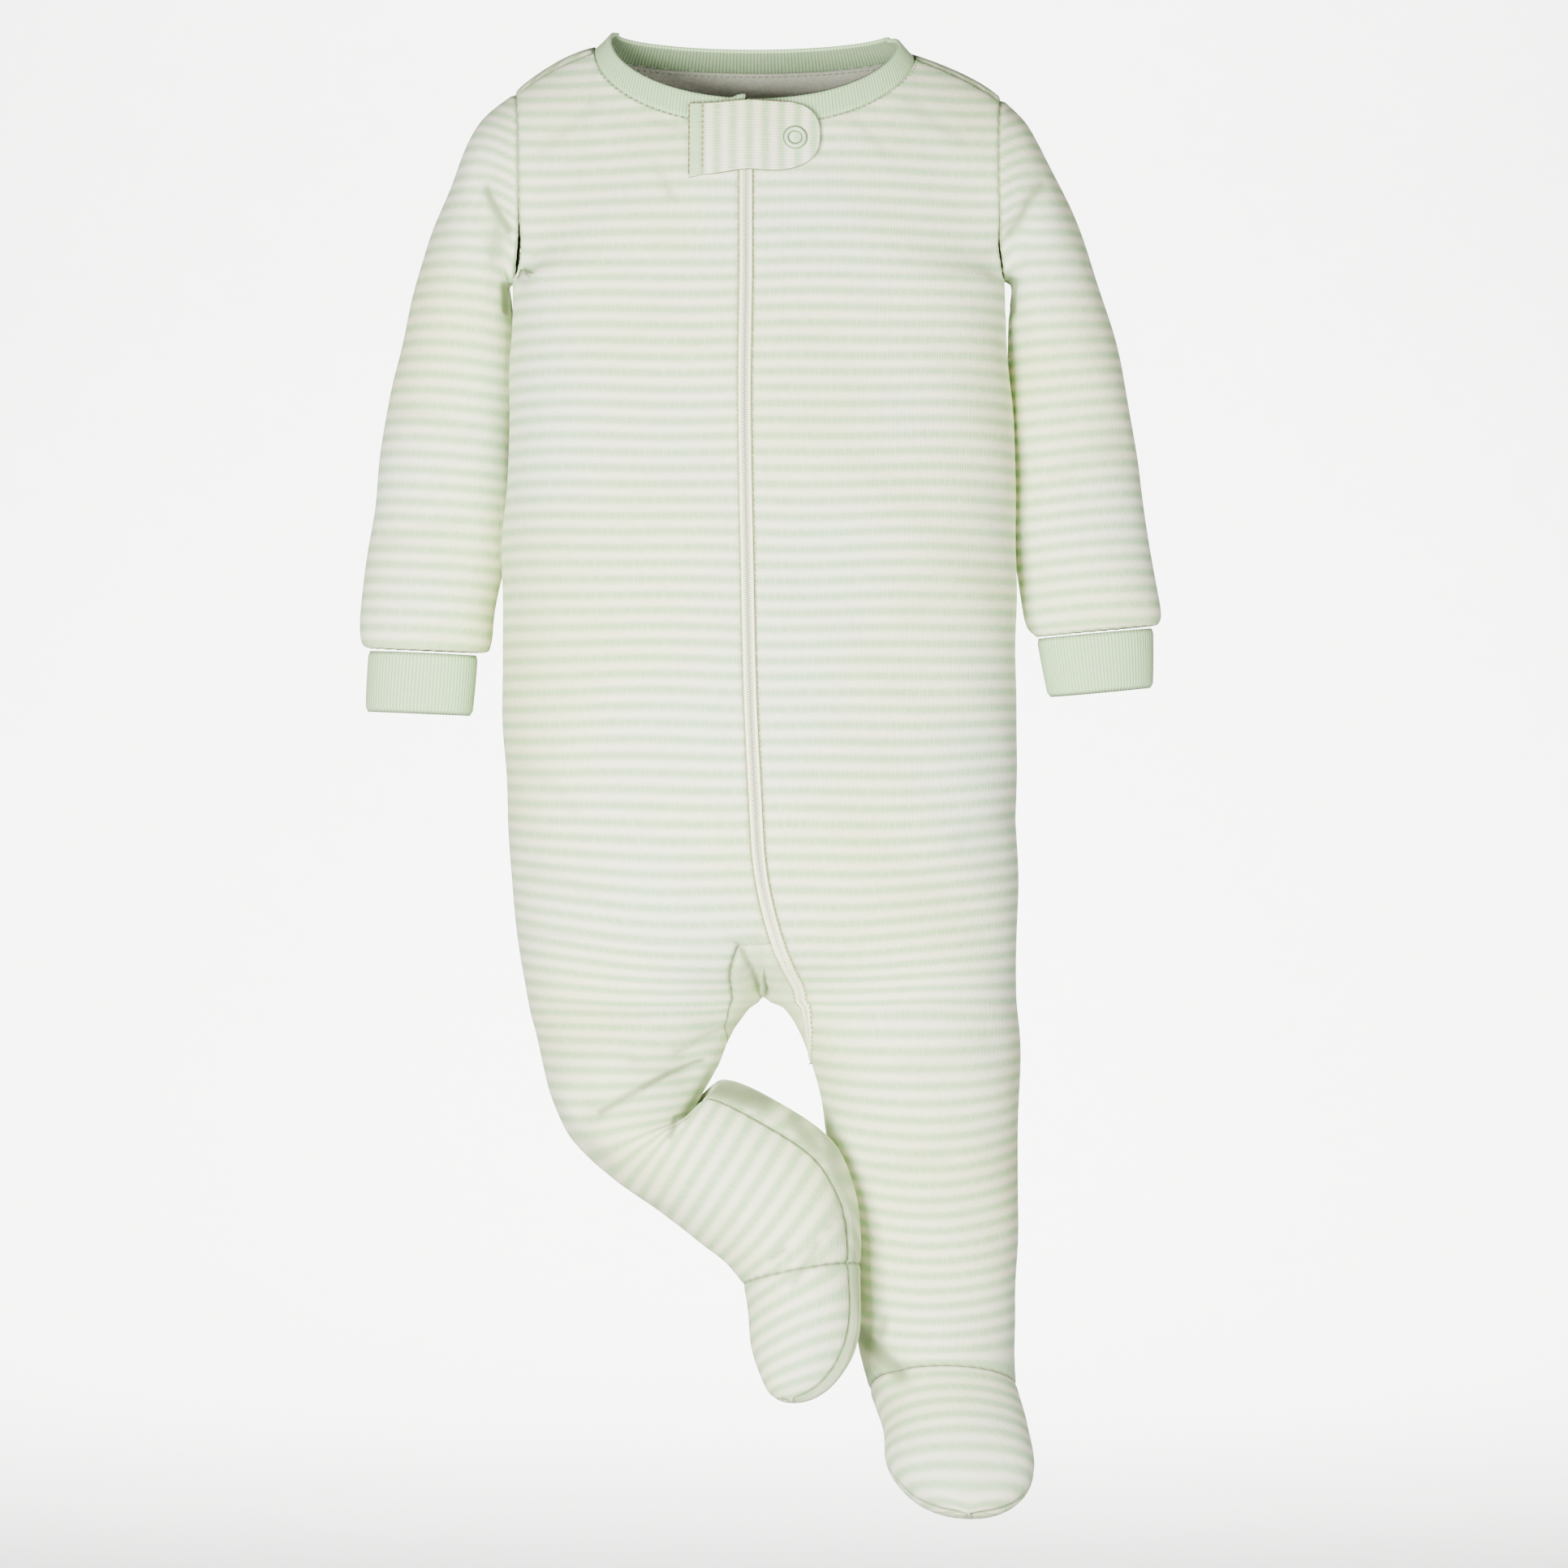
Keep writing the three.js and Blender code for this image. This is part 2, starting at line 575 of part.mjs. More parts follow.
// Rows and columns of the body's panels. The trunk's rows pass through the top of the gusset.
const gussetTop = gussetMarks[0].level;
const yokeRows = 8;
const trunkLevels = [1, 1.5, 2, 2.5, 3, 3.5, 4, 4.5, 5, 5.45, gussetTop, 6.3, 6.65, 7];
const forkLevels = [7, 8, 9, 9.5, 10]; // between the crotch and the end of the zip
const legLevels = (name) => [...forkLevels, ...steps(11, instepLevel[name], instepLevel[name] - 11)];
const sideOf = { right: -1, left: 1 };
const neckShares = [0, 0.12, 0.24, 0.36, 0.48, 1, 0.66, 0.75, 0.84, 0.92, 1]; // the sixth is the neck column
const gussetColumn = 2; // column of the right front at the gusset's corner
const evenShares = steps(0, 1, 10);

// The part of the way from the zip to the side at each column, from the neck down
const cornerEdge = besideZip(gussetTop, -zipHalf);
const cornerShare = (gussetMarks[0].across - cornerEdge) / (-1 - cornerEdge);
const lowShares = {
  right: evenShares.map((share, j) =>
    j <= gussetColumn
      ? (cornerShare * j) / gussetColumn
      : mix(cornerShare, 1, (j - gussetColumn) / (10 - gussetColumn)),
  ),
  left: evenShares,
};

function frontColumns(name, level) {
  const side = sideOf[name];
  const edge = besideZip(level, side * zipHalf);
  const corner = (neckColumn("front", side, shoulderSeam) * side - edge) / (side - edge);
  const blend = Math.max(0, Math.min(1, (level - 1) / 3));
  return evenShares.map((_, j) => {
    const neckShare = j === 5 ? corner : neckShares[j];
    return mix(edge, side, mix(neckShare, lowShares[name][j], blend));
  });
}

// The row of a panel above the armpits at one share of the way down from the neck and shoulder seams
function yokeRow(surface, face, columns, down, highest) {
  return columns.map((across, j) => {
    const onShoulder = j >= 5;
    const top = onShoulder ? highest : neckLevel(face, across);
    return spot(surface, across, mix(top, 1, down));
  });
}

const rowOf = (surface, columns, level) => columns.map((across) => spot(surface, across, level));

function frontPanel(name) {
  const side = sideOf[name];
  const sheet = newSheet();
  const zipTop = neckLevel("front", 0);
  const yoke = steps(0, 1, yokeRows).map((down) =>
    yokeRow(front, "front", frontColumns(name, mix(zipTop, 1, down)), down, shoulderSeam),
  );
  const upper = trunkLevels.filter((level) => level <= gussetTop);
  const lower = trunkLevels.filter((level) => level >= gussetTop);
  const below = upper.slice(1).map((level) => rowOf(front, frontColumns(name, level), level));
  addPatch(sheet, [...yoke, ...below]);
  const leg = legs.front[name];
  const levels = legLevels(name);
  if (name === "left") {
    addPatch(sheet, lower.map((level) => rowOf(front, frontColumns(name, level), level)));
    const beside = levels.filter((level) => level <= zipEndLevel);
    const below = levels.filter((level) => level >= zipEndLevel);
    addPatch(sheet, beside.map((level) => rowOf(leg, frontColumns(name, level), level)));
    const belowZip = frontColumns(name, zipEndLevel);
    addPatch(sheet, below.map((level) => rowOf(leg, [0, ...belowZip], level)));
  } else {
    const columns = (level) => {
      const edge = level < gussetEndLevel ? onMarks(gussetMarks, level).across : 0;
      return steps(Math.min(edge, 0), side, 10 - gussetColumn);
    };
    addPatch(sheet, lower.map((level) => rowOf(front, columns(level), level)));
    addPatch(sheet, levels.map((level) => rowOf(leg, columns(level), level)));
  }
  return sheet;
}

function backPanel() {
  const sheet = newSheet();
  for (const name of ["right", "left"]) {
    const side = sideOf[name];
    const corner = neckColumn("back", side, 0);
    const inner = (j) => (corner * j) / 5;
    const columns = evenShares.map((share, j) => side * (j <= 5 ? inner(j) : mix(corner, 1, (j - 5) / 5)));
    const yoke = steps(0, 1, yokeRows).map((down) => yokeRow(back, "back", columns, down, 0));
    const trunk = trunkLevels.slice(1).map((level) => {
      const blend = Math.min(1, (level - 1) / 3);
      return rowOf(back, columns.map((across, j) => mix(across, side * evenShares[j], blend)), level);
    });
    addPatch(sheet, [...yoke, ...trunk]);
    const round = evenShares.map((share) => side * share);
    addPatch(sheet, legLevels(name).map((level) => rowOf(legs.back[name], round, level)));
    addPatch(sheet, shoulderStrip(side));
  }
  return sheet;
}

// The back's cloth that comes over the ridge of the shoulder, down to the seam on the front
function shoulderStrip(side) {
  const startShares = neckShares.slice(6);
  return [0, shoulderSeam].map((level) => {
    const corner = level === 0 ? neckColumn("back", side, 0) : neckColumn("front", side, level);
    const even = steps(corner, 1, 5);
    const edge = besideZip(neckLevel("front", 0), side * zipHalf);
    const started = () => [corner, ...startShares.map((share) => side * mix(edge, side, share))];
    const columns = level === 0 ? even : started();
    return columns.map((share) => {
      const normal = normalAt(front, side * share, Math.max(level, 0.01));
      return { place: front.place(side * share, level), normal };
    });
  });
}

// The foot beyond the instep: the top in front, the sole behind
function footPiece(name, face) {
  const sheet = newSheet();
  const side = sideOf[name];
  const leg = legs[face][name];
  const levels = steps(instepLevel[name], toeLevel[name], footRows[name] + 1);
  const fine = [...levels.slice(0, -1), toeLevel[name] - 0.5, toeLevel[name] - 0.2, toeLevel[name]];
  addPatch(sheet, fine.map((level) => evenShares.map((share) => {
    const place = leg.place(side * share, level);
    const normal = level > toeLevel[name] - 0.1 ? null : normalAt(leg, side * share, level);
    return { place, normal };
  })));
  return sheet;
}

// The gusset between the zip and the right front, folding round to both inseams
function gusset() {
  const sheet = newSheet();
  const left = (level) => Math.min(0, onMarks(gussetMarks, level).across);
  const right = (level) => (level >= zipEndLevel ? 0 : besideZip(level, -zipHalf));
  const half = (from, to) => steps(from, to, 3);
  const trunk = trunkLevels.filter((level) => level >= gussetTop);
  const whole = (level) => [...half(left(level), 0), ...half(0, right(level)).slice(1)];
  addPatch(sheet, trunk.map((level) => rowOf(front, whole(level), level)));
  const beyond = (level) => (level >= gussetEndLevel ? 0 : left(level));
  const toGussetEnd = forkLevels.filter((level) => level <= gussetEndLevel);
  addPatch(sheet, toGussetEnd.map((level) => rowOf(legs.front.right, half(beyond(level), 0), level)));
  addPatch(sheet, forkLevels.map((level) => rowOf(legs.front.left, half(0, right(level)), level)));
  return sheet;
}

// Shares of the way round a tube: the sleeve's are those of the armhole's points on the front and back
const frontArmhole = steps(shoulderSeam, 1, yokeRows);
const sleeveRound = [...frontArmhole.map((share) => -share).reverse(), ...steps(0, 1, yokeRows)];
const evenRound = steps(-1, 1, 16);

function tubeSheet(surface, around, levels) {
  const sheet = newSheet();
  addPatch(sheet, levels.map((along) => around.map((share) => spot(surface, share, along))));
  return sheet;
}

// The neckband: a rib strip that stands up and inward from the neck seam, open at the zip
function neckbandSheet() {
  const zipTop = neckLevel("front", 0);
  const onFront = (name) => {
    const start = besideZip(zipTop, sideOf[name] * 0.5);
    return [start, ...frontColumns(name, zipTop).slice(0, 6)].map((across, j) =>
      front.place(across, j < 6 ? neckLevel("front", across) : shoulderSeam));
  };
  const onBack = (name) => {
    const corner = neckColumn("back", sideOf[name], 0);
    const levelAt = (across, j) => (j > 0 ? neckLevel("back", across) : 0);
    return steps(sideOf[name] * corner, 0, 5).map((across, j) => back.place(across, levelAt(across, j)));
  };
  const leftToBack = [...onFront("left"), ...onBack("left")];
  const seam = [...leftToBack, ...onBack("right").reverse().slice(1), ...onFront("right").reverse()];
  const rows = [0, 0.5, 1].map((up) => seam.map((place) => {
    const reach = place.y < 0 ? neckDepth.front : neckDepth.back;
    const outward = point((place.x - neckMiddle) / neckHalfWidth ** 2, place.y / reach ** 2, 0).normalize();
    const steepest = place.y < 0 ? neckbandSlope.front : neckbandSlope.back;
    const slope = mix(neckbandSlope.side, steepest, Math.abs(outward.y)) * deg;
    const normal = outward.clone().multiplyScalar(Math.sin(slope)).add(point(0, 0, Math.cos(slope)));
    const rise = outward.clone().multiplyScalar(-Math.cos(slope)).add(point(0, 0, Math.sin(slope)));
    const swell = 0.7 * Math.sin(Math.PI * up * 0.5);
    const top = place.clone().addScaledVector(rise, neckbandWidth * up).addScaledVector(normal, swell);
    return { place: top, normal };
  }));
  const sheet = newSheet();
  addPatch(sheet, rows);
  return sheet;
}

// A strip of the front beside the zip line, from one offset to another, between two levels
function zipStrip(offsets, topLevel) {
  const sheet = newSheet();
  const levels = [...steps(topLevel, 1, 5), ...trunkLevels.slice(1)];
  const row = (surface, level) => offsets.map((offset) => spot(surface, besideZip(level, offset), level));
  addPatch(sheet, levels.map((level) => row(front, level)));
  addPatch(sheet, forkLevels.map((level) => row(legs.front.left, level)));
  return sheet;
}

// The chin guard: a doubled tab over the top of the zip, with its free end rounded
function chinGuardSheet() {
  const sheet = newSheet();
  const { left, right, middleZ, halfHeight, roundFrom } = guard;
  const shares = [0, 0.12, 0.25, 0.38, 0.5, 0.62, 0.72, 0.81, 0.88, 0.94, 0.98, 1];
  addPatch(sheet, shares.map((share) => {
    const x = mix(left, right, share);
    const beyond = Math.max(0, (x - roundFrom) / (right - roundFrom));
    const half = mix(halfHeight, halfHeight - 1.2, share) * Math.max(0, 1 - beyond ** 2.6) ** (1 / 2.6);
    const middle = middleZ + 1.2 * share;
    return steps(middle + half, middle - half, 6).map((z) => {
      const { across, level } = locate(x, z, x / 110, 0.5);
      return spot(front, across, level);
    });
  }));
  return sheet;
}

const guardLift = (place) => {
  const overZip = Math.exp(-(((place.x - zipX) / 11) ** 2));
  const free = Math.max(0, Math.min(1, (place.x + 22) / 30));
  return guard.wall + 0.3 + guard.overSlider * overZip + guard.free * free * free * (3 - 2 * free);
};

// A frame on the front at (x, z): outward, down along the cloth, and to the wearer's left
function frameOnFront(x, z) {
  const { across, level } = locate(x, z, x / 110, 0.5);
  const { place, normal } = spot(front, across, level);
  const down = front.place(across, level + 1e-3).sub(place);
  down.addScaledVector(normal, -down.dot(normal)).normalize();
  return { place, normal, down, left: normal.clone().cross(down).negate() };
}

// A ring turned about the frame's normal, from its profile of (radius, height)
function turnedRing(frame, profile, segments) {
  const places = [];
  const index = [];
  const count = profile.length;
  for (let i = 0; i < segments; i += 1) {
    const angle = (2 * Math.PI * i) / segments;
    const spoke = frame.left.clone().multiplyScalar(Math.cos(angle));
    spoke.addScaledVector(frame.down, -Math.sin(angle));
    for (const [radius, height] of profile) {
      places.push(frame.place.clone().addScaledVector(spoke, radius).addScaledVector(frame.normal, height));
    }
    const here = i * count;
    const there = ((i + 1) % segments) * count;
    for (let k = 0; k < count; k += 1) {
      const after = (k + 1) % count;
      index.push(here + k, there + after, there + k, here + k, here + after, there + after);
    }
  }
  return solid(places, index);
}

// A bar of constant section along the zip, centred on the frame, from its outline of (left, height)
function barOnFrame(frame, outline, length, bevel) {
  const shape = new THREE.Shape(outline.map(([x, y]) => new THREE.Vector2(x, y)));
  const rounding = { bevelEnabled: bevel > 0, bevelSize: bevel, bevelThickness: bevel };
  const options = { depth: length - 2 * bevel, ...rounding };
  Object.assign(options, { bevelOffset: -bevel, bevelSegments: 1, curveSegments: 8 });
  const geometry = new THREE.ExtrudeGeometry(shape, options);
  geometry.translate(0, 0, -length / 2 + bevel);
  const up = frame.down.clone().negate();
  geometry.applyMatrix4(new THREE.Matrix4().makeBasis(frame.left, frame.normal, up).setPosition(frame.place));
  return geometry;
}

const suit = new THREE.Group();
function add(name, geometry, finish) {
  const mesh = new THREE.Mesh(geometry, new THREE.MeshStandardMaterial(finish));
  mesh.name = name;
  suit.add(mesh);
}

const finishes = {
  stripe: { color: 0xd9dfd0, roughness: 0.88, metalness: 0 }, // mean of the green and cream stripes
  rib: { color: 0xc9d4bf, roughness: 0.9, metalness: 0 },
  zip: { color: 0xe4e6d8, roughness: 0.5, metalness: 0 },
  snap: { color: 0xcfd8c8, roughness: 0.35, metalness: 0.1 },
};
const tapeEdges = [0.75, 1.7, zipHalf];
const zipTop = neckLevel("front", 0);
const coilTop = locate(zipX, slider.z - slider.length / 2 - 0.5, 0, 0.6).level;
const lifted = (height) => () => height;
const cloth = [
  ["front_right", frontPanel("right"), jersey, finishes.stripe],
  ["front_left", frontPanel("left"), jersey, finishes.stripe],
  ["back", backPanel(), jersey, finishes.stripe],
  ["crotch_gusset", gusset(), jersey, finishes.stripe],
  ["foot_top_right", footPiece("right", "front"), jersey, finishes.stripe],
  ["foot_top_left", footPiece("left", "front"), jersey, finishes.stripe],
  ["sole_right", footPiece("right", "back"), jersey, finishes.stripe],
  ["sole_left", footPiece("left", "back"), jersey, finishes.stripe],
  [
    "sleeve_right",
    tubeSheet(tubes.right, sleeveRound, [0, 0.5, ...steps(1, 10, 9)]),
    jersey,
    finishes.stripe,
  ],
  ["sleeve_left", tubeSheet(tubes.left, sleeveRound, [0, 0.5, ...steps(1, 10, 9)]), jersey, finishes.stripe],
  ["cuff_right", tubeSheet(cuffTubes.right, evenRound, steps(0, 2, 4)), rib, finishes.rib],
  ["cuff_left", tubeSheet(cuffTubes.left, evenRound, steps(0, 2, 4)), rib, finishes.rib],
  ["neckband", neckbandSheet(), rib, finishes.rib],
  [
    "zip_tape_right",
    zipStrip(tapeEdges.map((edge) => -edge).reverse(), zipTop),
    tape,
    finishes.zip,
    lifted(0.2),
  ],
  ["zip_tape_left", zipStrip(tapeEdges, zipTop), tape, finishes.zip, lifted(0.2)],
];
shareSeams(cloth.map(([, sheet]) => sheet));
for (const [name, sheet, wall, finish, lift] of cloth) add(name, thicken(sheet, wall, lift), finish);

const loose = [
  ["zip_coil", zipStrip([-0.75, 0.75], coilTop), 1.2, finishes.zip, lifted(0.4)],
  ["chin_guard", chinGuardSheet(), guard.wall, finishes.stripe, guardLift],
];
shareSeams(loose.map(([, sheet]) => sheet));
for (const [name, sheet, wall, finish, lift] of loose) add(name, thicken(sheet, wall, lift), finish);

const web = 0.4;
const flange = slider.width / 2;
const section = [
  [-flange, -2.1], [flange, -2.1], [flange, -1.4], [web, -1.4], [web, 0.6], [flange, 0.6],
  [flange, 1.3], [-flange, 1.3], [-flange, 0.6], [-web, 0.6], [-web, -1.4], [-flange, -1.4],
];
add("zip_slider", barOnFrame(frameOnFront(zipX, slider.z), section, slider.length, 0), finishes.zip);
const pullOutline = [[-2.2, 1.6], [2.2, 1.6], [2.2, 2.3], [-2.2, 2.3]];
add("zip_pull", barOnFrame(frameOnFront(zipX, slider.z - 5), pullOutline, 12, 0.15), finishes.zip);

const snapFrame = frameOnFront(snap.x, snap.z);
const guardTop = guardLift(snapFrame.place) + 0.3;
const bead = [
  [snap.inner, 0.1],
  [snap.inner + 0.4, 0],
  [snap.outer - 0.4, 0],
  [snap.outer, 0.3],
  [snap.outer - 0.5, 0.9],
  [snap.inner + 0.5, 0.9],
].map(([radius, height]) => [radius, guardTop + height]);
add("snap_ring", turnedRing(snapFrame, bead, 24), finishes.snap);
const stud = [[1, 0.3], [4.2, 0.3], [4.2, 0.7], [2.4, 1], [1, 1]];
add("snap_stud", turnedRing(snapFrame, stud, 20), finishes.snap);

export default suit;
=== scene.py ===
# A footed baby sleepsuit in striped cotton jersey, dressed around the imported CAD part.
# Lengths are in millimetres until a mesh is made. +Z is up, -Y is the front, +X is the wearer's left.
import math

import bmesh
import bpy
import numpy as np
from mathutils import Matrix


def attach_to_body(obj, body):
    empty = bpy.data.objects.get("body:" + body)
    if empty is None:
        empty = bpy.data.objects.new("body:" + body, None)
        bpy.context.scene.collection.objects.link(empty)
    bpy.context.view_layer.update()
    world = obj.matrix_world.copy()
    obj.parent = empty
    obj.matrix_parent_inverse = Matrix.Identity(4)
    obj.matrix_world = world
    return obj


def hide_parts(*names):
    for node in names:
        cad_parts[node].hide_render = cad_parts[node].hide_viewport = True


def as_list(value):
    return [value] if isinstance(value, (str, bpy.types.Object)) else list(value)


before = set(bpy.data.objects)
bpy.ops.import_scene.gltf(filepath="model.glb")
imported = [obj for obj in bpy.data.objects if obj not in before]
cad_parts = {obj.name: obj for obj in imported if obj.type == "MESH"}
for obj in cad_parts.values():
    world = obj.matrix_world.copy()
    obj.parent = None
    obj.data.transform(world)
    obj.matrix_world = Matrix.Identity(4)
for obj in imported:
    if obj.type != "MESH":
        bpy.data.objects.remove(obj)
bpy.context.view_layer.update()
print("frame loaded:", len(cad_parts), "nodes")

mm = 0.001
suitCut = {
    "chestHalf": 103, "armholeDrop": 97, "armholeReach": 24, "collarRise": 8, "neckMiddle": -1.7,
    "neckHalfWidth": 67.5, "neckFrontDrop": 35, "neckBackDrop": 7.2, "zipHalf": 2.7, "zipX": -5.5,
    "shoulderSeam": 0.1, "chestFull": 0.74,
}
shoulderTip = {-1: {"drop": 19, "inward": 0, "rise": 23}, 1: {"drop": 21.5, "inward": 1.5, "rise": 18}}
sides = {"right": -1, "left": 1}
halfEllipse = 4 / 3  # handle length that draws half an ellipse

# middleZ, sideZ, middleX, rightX, leftX, front, back, reach, open, full
trunkRows = np.array([
    [-97, -97, -5.5, -103, 103, 46, 43, 1, 1, 0.74],
    [-150, -150, -6, -105, 105.5, 50, 44, 1, 1, 0.72],
    [-212, -212, -5, -107.5, 107.5, 54, 45, 1, 1, 0.7],
    [-275, -275, -3.5, -107.6, 107.5, 57, 48, 1, 1, 0.69],
    [-335, -330, -0.5, -105.4, 107.5, 56, 54, 0.98, 1, 0.67],
    [-378, -370, 1.5, -102, 107.5, 54, 57, 0.7, 0.88, 0.64],
    [-398, -396, 1.5, -97, 108, 50, 52, 0, 0.5, 0.6],
])
# innerX, innerZ, outerX, outerZ, y, front, back, turn, lean, open
legRows = {
    -1: np.array([
        [-4.5, -402.5, -95.2, -404, -3, 40.5, 42, -2, 0, 0.25],
        [-10.5, -411, -93, -412, -7, 41, 41.5, -4, 0, 0.1],
        [-17, -425, -90, -427, -15, 41, 39, -6, 0, 0],
        [-23.5, -436.5, -85.5, -442, -23, 38, 35, -4, 0, 0],
        [-28, -444.5, -78, -455, -29, 35, 30, 6, 0, 0],
        [-23.5, -441.5, -67.5, -464.5, -31, 33, 30, 26, 0, 0],
        [-15.5, -430.5, -52, -476.5, -32, 31, 31, 42, 0, 0],
        [9.5, -441, -34.5, -489, -34, 29, 29, 44, 0, 0],
        [30, -456, -22, -498.5, -37, 27, 27, 42, 0, 0],
        [38.8, -476, -14, -504.5, -39, 25, 25, 36, 0, 0],
        [41, -493, -10, -509, -40, 24, 24, 34, 4, 0],
        [41, -506, -6.6, -514.5, -41, 24, 25, 33, 10, 0],
        [41, -525, -4.8, -525, -43, 23, 24, 32, 18, 0],
        [38.6, -540, -3.6, -539, -48, 19, 20, 30, 24, 0],
        [32, -551.5, 0, -550, -54, 14, 14, 30, 28, 0],
        [23.5, -558, 4.5, -557.5, -58, 8.5, 8.5, 30, 30, 0],
    ]),
    1: np.array([
        [10, -402, 108.2, -403, -2, 40.5, 42, -2, 0, 0.25],
        [16.4, -411, 108.5, -411, -3, 41, 41.5, -4, 0, 0.1],
        [22, -425, 108.5, -425, -3, 41, 39, -6, 0, 0],
        [25.6, -439, 108.5, -439, -3, 39, 37, -8, 0, 0],
        [28, -455, 108.2, -455, -3, 37, 35, -8, 0, 0],
        [33, -481, 108, -481, -2, 35, 33, -6, 0, 0],
        [38.5, -507, 107.7, -507, -1, 33, 32, -4, 0, 0],
        [40.6, -530, 107, -530, 0, 32.5, 31, 0, 0, 0],
        [41.5, -544, 106.5, -545, -1, 33, 32, 0, 3, 0],
        [46, -560, 107.4, -560, -5, 32.5, 32.5, 0, 22, 0],
        [51, -575, 111, -574, -22, 28.5, 28.5, 0, 27, 0],
        [52.4, -588, 113.3, -588, -40, 23, 23, 0, 31, 0],
        [59.5, -597.5, 110, -598, -52.5, 16.5, 16.5, 0, 35, 0],
        [69.5, -603, 101.5, -603.5, -61.5, 10, 10, 0, 40, 0],
    ]),
}
toes = {-1: (13, -61, -560.5), 1: (85.5, -67, -606.4)}
# outerX, outerZ, innerX, innerZ, y, half
sleeveRows = {
    -1: np.array([
        [-118.5, -32.5, -106, -99, 4, 25.5],
        [-131.3, -60, -105.6, -106, 8, 27],
        [-141.2, -87, -105.2, -116, 11, 28],
        [-148.8, -114, -105.4, -132, 13, 27.5],
        [-155, -142, -105.8, -152, 13, 26.5],
        [-160, -174, -106.6, -178, 13, 25],
        [-164.2, -206, -107.8, -206, 12, 23.5],
        [-166.8, -234, -111.4, -236, 10, 21.5],
        [-167, -248, -113.6, -251.5, 9, 19.5],
        [-164.2, -251.5, -118, -253.5, 8, 16],
    ]),
    1: np.array([
        [113, -33, 105.8, -99, 4, 25.5],
        [126.2, -57, 105.6, -106, 8, 27],
        [137.6, -83, 105.2, -116, 11, 28],
        [146.2, -110, 105.4, -132, 13, 27.5],
        [153.4, -138, 105.8, -152, 13, 26.5],
        [159, -170, 106.4, -176, 13, 25],
        [163.2, -202, 107.6, -204, 12, 23.5],
        [167.2, -228, 110.2, -231, 10, 21.5],
        [167.8, -238, 112.2, -242, 9, 19.5],
        [165.2, -242, 116, -246.5, 8, 16],
    ]),
}
cuffRows = {
    -1: np.array([[-164.4, -252.1, -118.4, -254.1, 8, 15.6], [-165.8, -264, -118.6, -268, 8, 15],
                  [-164.6, -276, -122, -281, 8, 13]]),
    1: np.array([[165.4, -242.6, 116.4, -247.1, 8, 15.6], [165.4, -254, 119.4, -259, 8, 15],
                 [164.2, -267.8, 122.2, -271.5, 8, 13]]),
}
zipPath = [(-0.2, -338), (2.2, -354), (6.6, -371), (11.6, -384), (16.9, -398), (20.2, -409)]
gussetPath = [(-8.2, -374.5), (-10.6, -381), (-11.6, -391), (-11.8, -401)]
crotchLevel = 7
zipEndLevel = 10
gussetEndLevel = 9.5
instepLevel = {-1: 19, 1: 17}
toeLevel = {-1: 24, 1: 22}

# Hollows along a line: x, y, z of both ends, depth, half width
largeFolds = [
    (-118, -25, -58, -103, -22, -93, 5, 9), (121, -25, -60, 106, -22, -86, 4, 8),
    (-12, -30, -410, -48, -50, -420, 3, 7), (-26, -45, -424, -70, -52, -441, 3.5, 8),
    (-5, -28, -384, 2, -8, -396, 1.5, 5), (22, -52, -348, 22, -42, -374, 1.2, 7),
]
# Creases pressed into the front as it is seen: x and z of both ends, depth, half width, and the painted shade
# in the fold; the rows of depth 0 only paint the shadow that the bent leg casts on the standing leg
smallCreases = [
    (-43, -52, -39, -60, 0.5, 2.2, 0.4), (-39, -60, -36, -66, 0.7, 2, 0.7),
    (-43, -32, -32, -37, 0.6, 2.4, 0.3), (-12, -409, -32, -417, 0.8, 1.8, 0.7),
    (-22, -422, -36, -426, 1.2, 1.5, 1.2), (-36, -426, -48, -432, 1.3, 1.5, 1.5),
    (-48, -432, -66, -442, 1.2, 2, 1), (-19, -428, -30, -444, 0.8, 2.4, 0.9),
    (-30, -444, -34, -445, 1, 1.6, 1.1), (-34, -445, -36, -452, 0.9, 1.7, 1.1),
    (-7, -377, 2, -397, 1.6, 1.5, 1.1), (-12, -372, 0, -371, 0.5, 1.4, 0.6),
    (-116, -60, -105, -79, 1.4, 2.2, 1.3), (-109, -76, -108.5, -88, 1, 3.6, 0.8),
    (-106, -100, -105.5, -110, 1, 2, 1.4), (119, -58, 105, -80, 1.2, 2.4, 0.9),
    (105.5, -98, 105, -110, 1, 2, 1.1), (43, -538, 58, -552, 1.2, 4.5, 1.2),
    (5, -502, 10, -498, 0.8, 1.6, 0.9), (14, -512, 24, -496, 0.8, 2, 0.8),
    (28, -490, 33, -484, 0.7, 1.6, 0.7), (52, -531, 50, -538, 0.7, 1.8, 0.7),
    (-100, -300, -78, -318, 0.8, 4, 0.2), (-96, -345, -70, -352, 0.9, 4, 0.2),
    (104, -322, 84, -331, 0.8, 4.5, 0.2), (-150, -150, -120, -160, 0.9, 4, 0.2),
    (-157, -205, -126, -199, 0.9, 4, 0.2), (152, -165, 124, -178, 0.9, 4, 0.2),
    (46, -470, 78, -462, 0.8, 4, 0.2), (60, -425, 95, -416, 0.7, 4, 0.2),
    (-88, -440, -62, -466, 0.9, 4, 0.25), (-62, -478, -40, -484, 0.8, 3, 0.25),
    (38, -30, 52, -46, 0.5, 2.5, 0.3), (62, -24, 84, -40, 0.5, 3, 0.3), (-70, -26, -90, -44, 0.5, 3, 0.3),
    (27, -446, 34, -480, 0, 4.5, 0.9), (34, -480, 43, -525, 0, 5, 0.8),
]
# Where the thigh hangs over the knee the back's cloth lies in shade, painted on in the same columns as the
# creases
kneeShade = [(-24, -431, 2, -438, 0, 5, 1.5), (14, -446, 23, -457, 0, 4, 1)]

